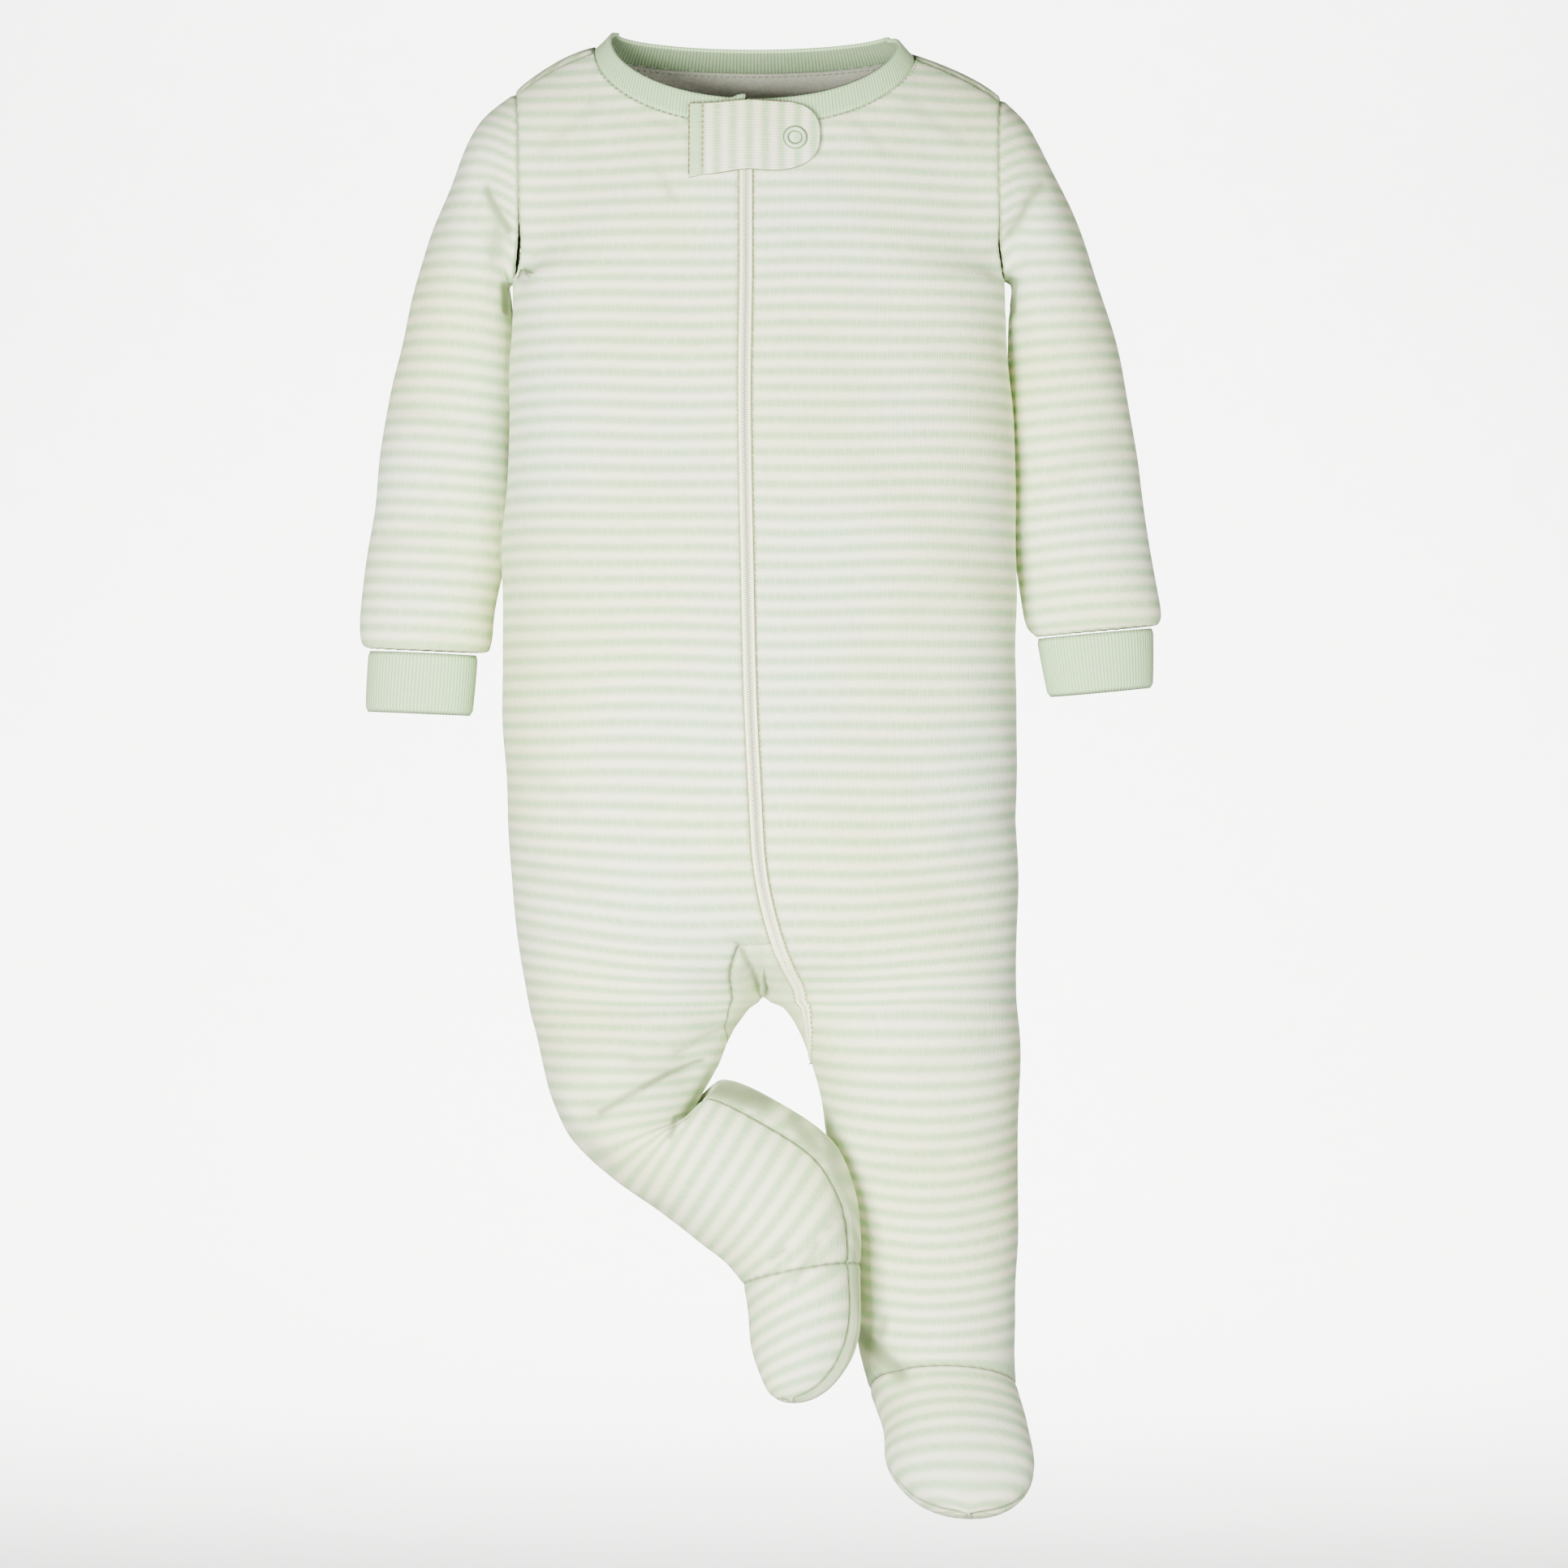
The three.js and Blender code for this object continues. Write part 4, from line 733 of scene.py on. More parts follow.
# Length along the cloth below the armpit row, the same over the trunk's width, then along each leg
def lengthTable(side, forward):
    levels = np.linspace(1, toeLevel[side] - 0.05, 400)
    return levels, distanceAlong(halfPoint(side, forward, 0.5 + 0 * levels, levels), 0)


lengthRuns = {key: lengthTable(*key) for key in halves}


def runAt(side, forward, level):
    return np.interp(level, *lengthRuns[side, forward])


# The stripes wander a little off true as the knit gives: two crossed sine waves, a millimetre high
def wander(points):
    x, z = points[..., 0], points[..., 2]
    return 0.55 * np.sin(x / 27 + z / 41 + 0.8 * np.sin(z / 60)) + 0.35 * np.sin(x / 13 - z / 33)


# Place of the cloth across its stripes. On a leg it skews by skew * sin(pi share / 2) * distance off the
# middle, and in front sags by sag * sin(pi share)^2 * hump, with hump = 1 - (distance off the middle / half)^2.
def stripeV(side, forward, level, points):
    onBoth = lambda at: np.mean([runAt(s, -1, at) for s in (-1, 1)], axis=0)
    own = runAt(side, -1, level) - runAt(side, -1, crotchLevel) + onBoth(crotchLevel)
    bends, x = stripeBends[side], points[..., 0]
    share = np.clip((level - bends["first"]) / (bends["last"] - bends["first"]), 0, 1)
    least, most = x.min(-1, keepdims=True), x.max(-1, keepdims=True)
    offMiddle = x - (least + most) / 2
    hump = 1 - (offMiddle / (np.maximum(most - least, 1e-3) / 2)) ** 2
    own = own - forward * bends["skew"] * np.sin(np.pi / 2 * share) * offMiddle
    if forward < 0:
        onFoot = np.clip((level - bends["last"] - 0.5) / 3, 0, 1)
        own = own - (bends["sag"] * np.sin(np.pi * share) ** 2 + bends["footSag"] * onFoot) * hump
    else:  # round the heel the cloth runs farther than at the side seams
        ankle = instepLevel[side] - 2.5
        heel = np.clip(level, ankle, instepLevel[side])
        farther = lambda way: runAt(side, way, heel) - runAt(side, way, ankle)
        own = own + (farther(1) - farther(-1)) * hump
    below = np.where(level > crotchLevel, own, onBoth(level))
    return np.where(level <= 1, stripeAboveArmpits(points[..., 2]), -below)


# Cloth of the body between columns of across and rows of level: a patch with its stripes, u along each row
def bodyPatch(side, forward, across, level, seams, surface=None):
    across, level = np.broadcast_arrays(np.atleast_2d(across), level if level.ndim > 1 else level[:, None])
    surface = surface or (front if forward < 0 else back)
    points = surface(across, level)
    safe = np.minimum(level, toeLevel[side] - 0.06)
    normals = normalsOf(surface, across, safe, forward)
    u = side * (distanceAlong(points, 1) + np.abs(across[:, :1]) * 100)
    return patch(points, normals, u, stripeV(side, forward, level, points) + wander(points), seams)


# Spacing of the mesh in millimetres, and how far the yoke, chest and shoulder run
spacing = {"row": 2.0, "column": 2.1, "fine": 1.6, "finest": 1.2, "gusset": 1.3}
yokeRun, chestRunAcross, shoulderRun = 95, 62, 44
yokeShares = seamSteps(yokeRun, spacing["row"], (True, False))


def levelsBetween(side, low, high, ends=(False, False), step=spacing["row"]):
    levels, run = lengthRuns[side, -1]
    start, stop = np.interp([low, high], levels, run)
    return np.interp(start + (stop - start) * seamSteps(stop - start, step, ends), run, levels)


cornerFront = {side: float(neckColumn(-1, side, suitCut["shoulderSeam"])) for side in (-1, 1)}
cornerBack = {side: float(neckColumn(1, side, 0.0)) for side in (-1, 1)}
zipTop = float(neckLevel(-1, 0.0))
toGusset = float(gussetMarks[0, 0] - besideZip(gussetTop, -suitCut["zipHalf"]))


# Columns of across between bounds that change from row to row, each zone with its own shares
def zoned(bounds, zones):
    parts = [mix(low[:, None], high[:, None], zone) for low, high, zone in zip(bounds, bounds[1:], zones)]
    return np.concatenate([part[:, min(i, 1):] for i, part in enumerate(parts)], 1)


def gussetEdge(level):
    onEdge = np.minimum(onMarks(gussetMarks, np.minimum(level, gussetEndLevel)), 0)
    return np.where(level < gussetEndLevel, onEdge, 0)


def frontPanel(side):
    corner, foot, leg = side * cornerFront[side], instepLevel[side], legSurface(side, -1)
    edgeAt = lambda level: besideZip(level, side * suitCut["zipHalf"])
    bounds = lambda edge: [edge, 0 * edge + corner, 0 * edge + side]
    shoulder = seamSteps(shoulderRun, spacing["column"], (False, True))
    if side < 0:  # one zone more, which ends at the gusset's top
        nearZip = seamSteps(13, spacing["fine"], (True, False))
        chest = seamSteps(50, spacing["fine"], (False, False))

        def columns(level):
            edge = edgeAt(level)
            return zoned([edge, edge + toGusset, *bounds(edge)[1:]], [nearZip, chest, shoulder])

        besideGusset = lambda level: zoned(bounds(gussetEdge(level)), [chest, shoulder])
        runs = [(1, gussetTop, columns), (gussetTop, crotchLevel, besideGusset),
                (crotchLevel, foot, besideGusset)]
    else:
        chest = seamSteps(chestRunAcross, spacing["column"], (True, False))
        columns = lambda level: zoned(bounds(edgeAt(level)), [chest, shoulder])

        def belowZip(level):
            fixed = columns(0 * level + zipEndLevel)
            return np.concatenate([fixed[:, :1] * np.arange(3) / 3, fixed], 1)

        runs = [(1, gussetTop, columns), (gussetTop, crotchLevel, columns),
                (crotchLevel, zipEndLevel, columns), (zipEndLevel, foot, belowZip)]
    across = columns(mix(zipTop, 1, yokeShares))
    beyond = np.arange(across.shape[1]) >= across.shape[1] - len(shoulder)
    top = np.where(beyond, suitCut["shoulderSeam"], neckLevel(-1, across))
    patches = [bodyPatch(side, -1, across, mix(top, 1, yokeShares[:, None]), "low high top")]
    for low, high, place in runs:
        last = high == foot
        step = spacing["finest"] if last and side < 0 else spacing["row"]
        level = levelsBetween(side, low, high, (False, last), step)
        patches.append(bodyPatch(side, -1, place(level), level, "low high bottom" if last else "low high",
                                 leg if low >= crotchLevel else None))
    return patches


def backPanel():
    patches = []
    chest = seamSteps(chestRunAcross, spacing["column"], (False, False))
    shoulder = seamSteps(shoulderRun, spacing["column"], (False, True))
    for side in (-1, 1):
        corner = cornerBack[side]
        column = side * zoned([np.zeros(1), np.full(1, corner), np.ones(1)], [chest, shoulder])
        beyond = np.arange(column.size) >= column.size - len(shoulder)
        top = np.where(beyond, 0, np.maximum(neckLevel(1, column) - 0.012, 0))  # reaches 1 mm into the band
        yokeLevel = mix(top, 1, yokeShares[:, None])
        yoke, sewn = (bodyPatch(side, 1, column, yokeLevel, seams) for seams in ("high", "high top"))
        yoke["valley"] = mix(yoke["valley"], sewn["valley"], np.clip((corner - np.abs(column)) / 0.03, 0, 1))
        trunk = levelsBetween(1, 1, crotchLevel)
        leg = levelsBetween(side, crotchLevel, instepLevel[side], (False, True))
        patches += [yoke, bodyPatch(side, 1, column, trunk, "high"),
                    bodyPatch(side, 1, column, leg, "low high bottom", legSurface(side, 1))]
        # The back's cloth comes over the ridge of the shoulder, down to the seam on the front
        level = suitCut["shoulderSeam"] * seamSteps(7, spacing["finest"], (False, True))
        start = np.concatenate([[corner], neckColumn(-1, side, level[1:])])
        strip, level = np.broadcast_arrays(side * mix(start[:, None], 1, shoulder), level[:, None])
        points = front(strip, level)
        normals = normalsOf(front, strip, np.maximum(level, 0.012), -1)
        v = stripeAboveArmpits(points[:1, :, 2]) + distanceAlong(points, 0)
        u = side * (distanceAlong(points, 1) + chestRunAcross)
        patches.append(patch(points, normals, u, v, "bottom high low"))
    return patches


def footPiece(side, forward):
    first, last = instepLevel[side], toeLevel[side]
    level = first + (last - first) * np.sin(np.pi / 2 * seamSteps(60, 1.5, (True, False)))
    across = side * seamSteps(70, 1.8)
    piece = bodyPatch(side, forward, across, level, "low high top", legSurface(side, forward))
    if side < 0 < forward:  # this sole is cut along the stripes, with a green one at the inner edge
        piece["uv"] = piece["uv"][..., ::-1] - (0, 1.4)
    return [piece]


def gussetPiece():
    shares = seamSteps(10, spacing["finest"])
    zipEdge = lambda level: np.where(level >= zipEndLevel, 0, besideZip(level, -suitCut["zipHalf"]))
    trunk = levelsBetween(1, gussetTop, crotchLevel, (True, False), spacing["gusset"])
    patches = []
    for onLeg in (False, True):
        for side, end in ((-1, gussetEndLevel), (1, zipEndLevel)):
            level = trunk
            if onLeg:
                level = levelsBetween(side, crotchLevel, end, (False, True), spacing["gusset"])
            low, high = (gussetEdge(level), 0 * level) if side < 0 else (0 * level, zipEdge(level))
            seams = "low high" if onLeg else "top low" if side < 0 else "top high"
            across = mix(low[:, None], high[:, None], shares)
            surface = legSurface(side, -1) if onLeg else None
            patches.append(bodyPatch(side, -1, across, level, seams, surface))
    for p in patches:  # no seam runs down the gusset's own middle, above the inseams
        x, z = p["points"][..., 0], p["points"][..., 2]
        p["valley"] = np.where((z > -397.5) & (np.abs(x - 1.5) < 6), 0, p["valley"])
    return patches


sleeveLean = 1.5


def sleevePiece(side):
    place = tubeSurface(sleeveRows[side], side)
    along = len(sleeveRows[side]) * seamSteps(230, spacing["row"])
    around, along = np.broadcast_arrays(np.linspace(-1, 1, 109), along[:, None])
    points = place(around, along)
    normals = normalsOf(place, around, along, -side)
    # The sleeve's inner side leans on the body below the armpit:
    # sleeveLean * exp(-((z + 155) / 85)^4) * how far it faces the body
    leaning = np.exp(-(((points[..., 2] + 155) / 85) ** 4)) * np.clip(-2 * side * normals[..., 0], 0, 1)
    points = points + normals * (sleeveLean * leaning)[..., None]
    run = distanceAlong(points, 0)
    v = run[-1:] - run + wander(points)
    return [patch(points, normals, distanceAlong(points, 1), v, "top bottom low high")]


jerseyWall = 1.2
# Width and length of each cut piece as far as it shows, and its flat area where it is no rectangle, in metres
flatCuts = {
    "front_right": (0.155, 0.56, 0.062), "front_left": (0.155, 0.6, 0.0672), "back": (0.3, 0.66, 0.138),
    "crotch_gusset": (0.034, 0.06, 0.0019), "chin_guard": (0.054, 0.029, 0.0014),
    "foot_top_right": (0.06, 0.068, 0.0031), "foot_top_left": (0.08, 0.085, 0.0056),
    "sole_right": (0.065, 0.08, 0.004), "sole_left": (0.085, 0.1, 0.0071),
    "sleeve_right": (0.175, 0.24, 0.0327), "sleeve_left": (0.17, 0.23, 0.0306),
    "cuff_right": (0.11, 0.027, None), "cuff_left": (0.11, 0.027, None), "neckband": (0.33, 0.012, None),
    "zip_tape_right": (0.0105, 0.375, None), "zip_tape_left": (0.0105, 0.375, None),
}
cloth = {}


def attach(piece, replaced=None):
    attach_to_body(piece, "root")
    if replaced:
        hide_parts(replaced)


def dress(name, piece, heldOn):
    attach(piece, name)
    cloth[name] = (piece, heldOn)


bodyCloth = [
    ("front_right", frontPanel(-1), stripedJersey, ["back"]),
    ("front_left", frontPanel(1), stripedJersey, ["back"]),
    ("back", backPanel(), stripedJersey, []),
    ("crotch_gusset", gussetPiece(), gussetJersey, ["front_right"]),
    ("foot_top_right", footPiece(-1, -1), footJersey, ["front_right"]),
    ("foot_top_left", footPiece(1, -1), footJersey, ["front_left"]),
    ("sole_right", footPiece(-1, 1), footJersey, ["back"]),
    ("sole_left", footPiece(1, 1), footJersey, ["back"]),
    ("sleeve_right", sleevePiece(-1), stripedJersey, ["back"]),
    ("sleeve_left", sleevePiece(1), stripedJersey, ["back"]),
]
for name, patches, material, heldOn in bodyCloth:
    piece = clothPiece(name + "_cloth", patches, jerseyWall, [material, jerseyBack])
    dress(name, piece, heldOn)
print("jersey panels made")


# Faces of a tube: a grid of points whose columns close into a ring. Its rows close too, or it has two ends.
def tubeFaces(rows, columns, closed=False):
    index = np.arange(rows * columns).reshape(rows, columns)
    after = np.roll(index, -1, 1)
    quads = np.stack([index[:-1], index[1:], after[1:], after[:-1]], -1).reshape(-1, 4).tolist()
    if closed:
        return quads + np.stack([index[-1], index[0], after[0], after[-1]], -1).tolist()
    return quads + [index[0].tolist(), index[-1, ::-1].tolist()]


# A doubled strip of rib along base, the points of its seam. Its profile goes up the outer face and down the
# inner one, up being a share of the width: out is half the thickness, rounded at the fold and drawn in at the
# foot, and the whole bulges by swell * sin(pi up / 2).
def foldedBand(base, rise, normal, width, thickness, closed, swell):
    steps = 13
    up = np.concatenate([np.linspace(0, 1, steps), np.linspace(1, 0, steps)[1:-1]])
    half = thickness / 2
    face = np.where(np.arange(len(up)) < steps, 1.0, -1.0)
    rounded = lambda reach: np.sqrt(1 - np.clip(reach / half, 0, 1) ** 2)
    profile = np.minimum(rounded(up * width - (width - half)), 0.35 + 0.65 * rounded(half - up * width))
    out = face * half * profile + swell * np.sin(np.pi * up * 0.5)
    points = base[:, None] + rise[:, None] * (width * up)[:, None] + normal[:, None] * (out - half)[:, None]
    run = distanceAlong(base, 0)
    uv = np.stack(np.broadcast_arrays(run[:, None], up * width * face), -1)
    return points, tubeFaces(len(base), len(up), closed), uv.reshape(-1, 2)


# A mesh whose faces all turn outwards
def solidObject(name, points, faces, materials, uv=None):
    piece = meshObject(name, points.reshape(-1, 3), faces, uv, materials)
    work = bmesh.new()
    work.from_mesh(piece.data)
    bmesh.ops.recalc_face_normals(work, faces=work.faces)
    work.to_mesh(piece.data)
    work.free()
    return piece


neckband = {"width": 12, "foot": 0.6, "thickness": 2.0, "frontDepth": 35, "backDepth": 25, "side": 33,
            "front": 66, "back": 46, "swell": 0.7, "spacing": 1.6}


# The neck seam from the zip round the wearer's left, the back and the right to the zip again
def neckSeam():
    shares = np.linspace(0, 1, 60)
    parts = []
    for side in (1, -1):
        across = mix(float(besideZip(zipTop, side * 0.5)), side * cornerFront[side], shares)
        ahead = front(across, np.concatenate([neckLevel(-1, across[:-1]), [suitCut["shoulderSeam"]]]))
        across = side * cornerBack[side] * (1 - shares)
        behind = back(across, np.concatenate([[0], neckLevel(1, across[1:])]))
        parts.append(np.vstack([ahead, behind]))
    path = np.vstack([parts[0], parts[1][::-1][1:]])
    run = distanceAlong(path, 0)
    keep = np.concatenate([[True], np.diff(run) > 1e-6])
    path = sampled(path[keep], run[keep], np.linspace(0, run[-1], int(run[-1] / neckband["spacing"])))
    for _ in range(8):  # softens the corners at the shoulder seams
        path[1:-1] = (path[:-2] + 2 * path[1:-1] + path[2:]) / 4
    return path


# Which way the band rises and faces at each point of the seam: it leans by an angle in degrees that changes
# from the front round the sides to the back
def neckFrames(path):
    x, y = path[:, 0] - suitCut["neckMiddle"], path[:, 1]
    toFront = 0.5 - 0.5 * np.tanh(y / 6)
    reach = mix(neckband["backDepth"], neckband["frontDepth"], toFront)
    outward = unit(xyz(x / suitCut["neckHalfWidth"] ** 2, y / reach**2, 0 * x))
    steep = mix(neckband["back"], neckband["front"], toFront)
    slope = np.radians(mix(neckband["side"], steep, np.abs(outward[:, 1])))[:, None]
    up = np.array([0, 0, 1.0])
    return -outward * np.cos(slope) + up * np.sin(slope), outward * np.sin(slope) + up * np.cos(slope)


neckPath = neckSeam()
neckRise, neckNormal = neckFrames(neckPath)
base, width = neckPath - neckband["foot"] * neckRise, neckband["width"] + neckband["foot"]
thickness, swell = neckband["thickness"], neckband["swell"]
grid, faces, uv = foldedBand(base, neckRise, neckNormal, width, thickness, False, swell)
neckRun = distanceAlong(neckPath, 0)
height = ((grid - neckPath[:, None]) * neckRise[:, None]).sum(-1, keepdims=True) / neckband["width"]
# The folded end at the zip stands a little higher and thicker than the rest
ending = np.exp(-(((neckRun[-1] - neckRun) / 4.5) ** 4))[:, None, None]
grid += (neckRise * 1.7 + neckNormal * 0.7)[:, None] * height * ending
piece = solidObject("neckband_rib", grid, faces, [ribKnit, ribInsideShade], uv)
columns = grid.shape[1]
inner = [int(k < (len(grid) - 1) * columns and 13 <= k % columns < 23) for k in range(len(faces))]
piece.data.polygons.foreach_set("material_index", inner)
dress("neckband", piece, ["front_right_cloth", "front_left_cloth", "back_cloth"])

cuffLook = {"thickness": 2.0, "count": 150, "swell": 1.0}
for name, side in sides.items():
    place = tubeSurface(cuffRows[side])
    around = np.linspace(-1, 1, cuffLook["count"] + 1)[:-1]
    base, middle, hem = (place(around, 0 * around + row) for row in range(3))
    rise = unit(hem - base)
    outward = unit(middle - middle.mean(0))
    normal = unit(outward - (outward * rise).sum(-1, keepdims=True) * rise)
    width = float(np.linalg.norm(hem - base, axis=-1).mean())
    points, faces, uv = foldedBand(base, rise, normal, width, cuffLook["thickness"], True, cuffLook["swell"])
    piece = solidObject(f"cuff_{name}_rib", points, faces, [ribKnit], uv)
    dress(f"cuff_{name}", piece, [f"sleeve_{name}_cloth"])
print("rib bands made")

# The zip: a piped edge on each tape, and the coil's slanting bars between them
zipLook = {"coilTop": 43, "inner": 1.3, "outer": 2.6, "height": 0.5, "pitch": 0.95, "barWidth": 0.8,
           "barHeight": 0.7, "barReach": 1.35, "slant": 0.55, "sewn": 3.0, "tapeInner": 0.8, "tapeEdge": 11.5,
           "tapeUpper": -1.45, "tapeLower": -1.85, "trimOver": 60}
toZipEnd = levelsBetween(1, 1, zipEndLevel, step=spacing["finest"])
zipLevels = np.concatenate([np.linspace(zipTop, 1, 80)[:-1], toZipEnd])


def zipPlace(level, offset):
    across = besideZip(level, offset)
    onLeg = (level > crotchLevel)[..., None]
    return np.where(onLeg, legSurface(1, -1)(across, level), front(across, level))


zipMiddle = zipPlace(zipLevels, 0)
zipLeft = unit(zipPlace(zipLevels, 0.5) - zipPlace(zipLevels, -0.5))
zipDown = unit(zipPlace(zipLevels + 1e-3, 0) - zipPlace(zipLevels - 1e-3, 0))
zipNormal = unit(np.cross(zipDown, zipLeft))
zipNormal = np.where(zipNormal[:, 1:2] > 0, -zipNormal, zipNormal)
zipSink = pressed(zipMiddle, largeFolds)[:, None]
zipBase = zipMiddle - zipSink * zipNormal
zipRun = distanceAlong(zipMiddle, 0)
for name, side in sides.items():
    inner, outer = zipLook["inner"], zipLook["outer"]
    width, centre = (outer - inner) / 2, (outer + inner) / 2
    outline = [(side * (centre - width * np.cos(a)), zipLook["height"] * np.sin(a) ** 0.7)
               for a in np.linspace(0, np.pi, 9)]
    edge, upper, lower = zipLook["tapeEdge"], zipLook["tapeUpper"], zipLook["tapeLower"]
    outline += [(side * outer, upper), (side * edge, upper), (side * edge, lower),
                (side * zipLook["tapeInner"], lower), (side * zipLook["tapeInner"], -0.6)]
    offset, height = np.array(outline).T
    # The tape inside the cloth is trimmed narrower towards the inseam, where the leg turns away under it
    toEnd = np.clip((zipRun[-1] - zipRun) / zipLook["trimOver"], 0, 1)[:, None]
    trimmed = np.where(np.abs(offset) > outer + 1, side * mix(outer + 0.3, np.abs(offset), toEnd), offset)
    points = zipBase[:, None] + zipLeft[:, None] * trimmed[..., None] + zipNormal[:, None] * height[:, None]
    piece = solidObject(f"zip_tape_{name}_piping", points, tubeFaces(*points.shape[:2]), [zipTape])
    dress(f"zip_tape_{name}", piece, [f"front_{name}_cloth"])

coilStart = float(np.interp(zipLook["coilTop"], -zipMiddle[:, 2], zipRun))
barAt = np.arange(coilStart, zipRun[-1] - 1, zipLook["pitch"])
ways = (zipBase, zipLeft, zipDown, zipNormal)
middle, left, down, normal = (sampled(way, zipRun, barAt)[:, None] for way in ways)
# One bar: a bent box from the middle to the tape, five sections of four corners
sections = np.linspace(0, 1, 5)[:, None]
corner = np.array([(-1, 0), (1, 0), (0.6, 1), (-0.6, 1)])
bars = []
for side in (-1, 1):
    drop = -zipLook["slant"] * sections + (0.5 * zipLook["pitch"] if side > 0 else 0)
    arch = zipLook["barHeight"] * (0.55 + 0.45 * np.sin(np.pi * (0.25 + 0.6 * sections)))
    local = xyz(side * (0.05 + sections * zipLook["barReach"]), drop + corner[:, 0] * zipLook["barWidth"] / 2,
                -0.35 + corner[:, 1] * (arch + 0.35)).reshape(-1, 3)
    bars.append(middle + left * local[:, :1] + down * local[:, 1:2] + normal * local[:, 2:])
bars = np.concatenate(bars)
faces = np.array(tubeFaces(5, 4)) + 20 * np.arange(len(bars))[:, None, None]
coil = solidObject("zip_coil_bars", bars, faces.reshape(-1, 4).tolist(), [coilNylon])
attach(coil, "zip_coil")
print("zip made:", len(bars), "bars")

# The chin guard: a doubled tab over the top of the zip, its free end rounded, its stripes upright
guard = {"left": -29, "right": 24.6, "middleZ": -42.2, "halfHeight": 14.8, "roundFrom": 8, "wall": 1.6,
         "overSlider": 2.2, "free": 1.0, "rise": 0.3, "foldX": -23.4, "foldDepth": 0.8, "taper": 1.2,
         "roundness": 2.6, "droop": 1.6, "waviness": 0.35, "edge": 0.45}


# Points of the front that are seen at x and z, their outward normals, and their across and level
def onFront(x, z):
    across, level = locate(x, z, x / 110, 0.5)
    return front(across, level), normalsOf(front, across, level, -1), across, level


# How far the tab stands off the cloth: more over the slider, as exp(-((x - zip) / 11)^2), and at its free end
def guardLift(points):
    x = points[..., 0]
    overZip = np.exp(-(((x - suitCut["zipX"]) / 11) ** 2))
    free = np.clip((x + 22) / 30, 0, 1)
    lift = guard["wall"] + guard["rise"] + guard["overSlider"] * overZip
    return lift + guard["free"] * free * free * (3 - 2 * free)


# Columns close up at the rounded end: share 0.94 + 0.06 sin(angle)
roundEnd = 0.94 + 0.06 * np.sin(np.linspace(0, np.pi / 2, 14))
share = np.concatenate([seamSteps(54, 1.0, (True, False))[:-1] * 0.94, roundEnd])[:, None]
x = mix(guard["left"], guard["right"], share)
roundFrom, roundness = guard["roundFrom"], guard["roundness"]
beyond = np.maximum(0, (x - roundFrom) / (guard["right"] - roundFrom)) ** roundness
# The lower corner at the seam hangs by droop * exp(-((x - left) / 4.5)^2), and the lower edge waves a little
droop = guard["droop"] * np.exp(-(((x - guard["left"]) / 4.5) ** 2)) + guard["waviness"] * np.sin(x / 4.1)
half = (guard["halfHeight"] - guard["taper"] * share) * np.maximum(0, 1 - beyond) ** (1 / roundness)
lean = np.linspace(1, -1, 31)
z = guard["middleZ"] + guard["taper"] * share + half * lean - droop * (lean < 0) * lean**2
x = x + 0 * z
points, normals, across, level = onFront(x, z)
points = points + normals * guardLift(points)[..., None]
# Plain green up to the fold's stitches, striped beyond them
stripes = np.maximum(x - guard["foldX"], 0) - 1.65
fold = guard["foldDepth"] * np.exp(-(((x - guard["foldX"]) / 0.9) ** 2))
tab = clothPiece("chin_guard_tab", [dict(patch(points, normals, z, stripes), valley=fold)], guard["wall"],
                 [stripedJersey, tabEdgeShade], roughness=0.0)
# The tab's rim and its rounded edge take the painted shade of the turned edge
tab.modifiers["wall"].material_offset_rim = 1
bevel = tab.modifiers.new("soft edge", "BEVEL")
bevel.width, bevel.segments, bevel.limit_method, bevel.material = guard["edge"] * mm, 3, "ANGLE", 1
# Its left and upper edges, from the lower left corner round to two thirds of the top, where a painted shadow
# line runs
guardShadowLine = np.vstack([points[0, ::-1], points[1:46, 0]]) + xyz(0.1, -0.3, 0)
guardOut = np.vstack([normals[0, ::-1], normals[1:46, 0]])
dress("chin_guard", tab, ["front_right_cloth"])
print("chin guard made")

# The ring snap on the tab
snap = {"x": 14.6, "z": -42.2, "outer": 4.6, "inner": 3.0, "height": 0.9, "segments": 64}


def frontFrame(x, z):
    place, normal, across, level = onFront(x, z)
    down = front(across, level + 1e-3) - place
    down = unit(down - normal * (down * normal).sum())
    return place, normal, down, -np.cross(normal, down)


# A ring turned about the normal: radius and height go round a closed profile
def turnedRing(name, at, profile, material):
    place, normal, down, left = at
    turn = np.linspace(0, 2 * np.pi, snap["segments"], endpoint=False)[:, None]
    spoke = left * np.cos(turn) - down * np.sin(turn)
    radius, height = np.array(profile).T[..., None]
    points = place + spoke[:, None] * radius + normal * height
    return solidObject(name, points, tubeFaces(*points.shape[:2], True), [material])


snapFrame = frontFrame(snap["x"], snap["z"])
guardTop = float(guardLift(snapFrame[0])) + 0.3
inner, outer = snap["inner"], snap["outer"]
bead = [(inner + 0.8 * (1 - np.cos(a)), guardTop + snap["height"] * np.sin(a) ** 0.8)
        for a in np.linspace(0, np.pi, 11)]
bead += [(outer - 0.1, guardTop - 0.15), (inner + 0.1, guardTop - 0.15)]
attach(turnedRing("snap_ring_turned", snapFrame, bead, snapEnamel), "snap_ring")
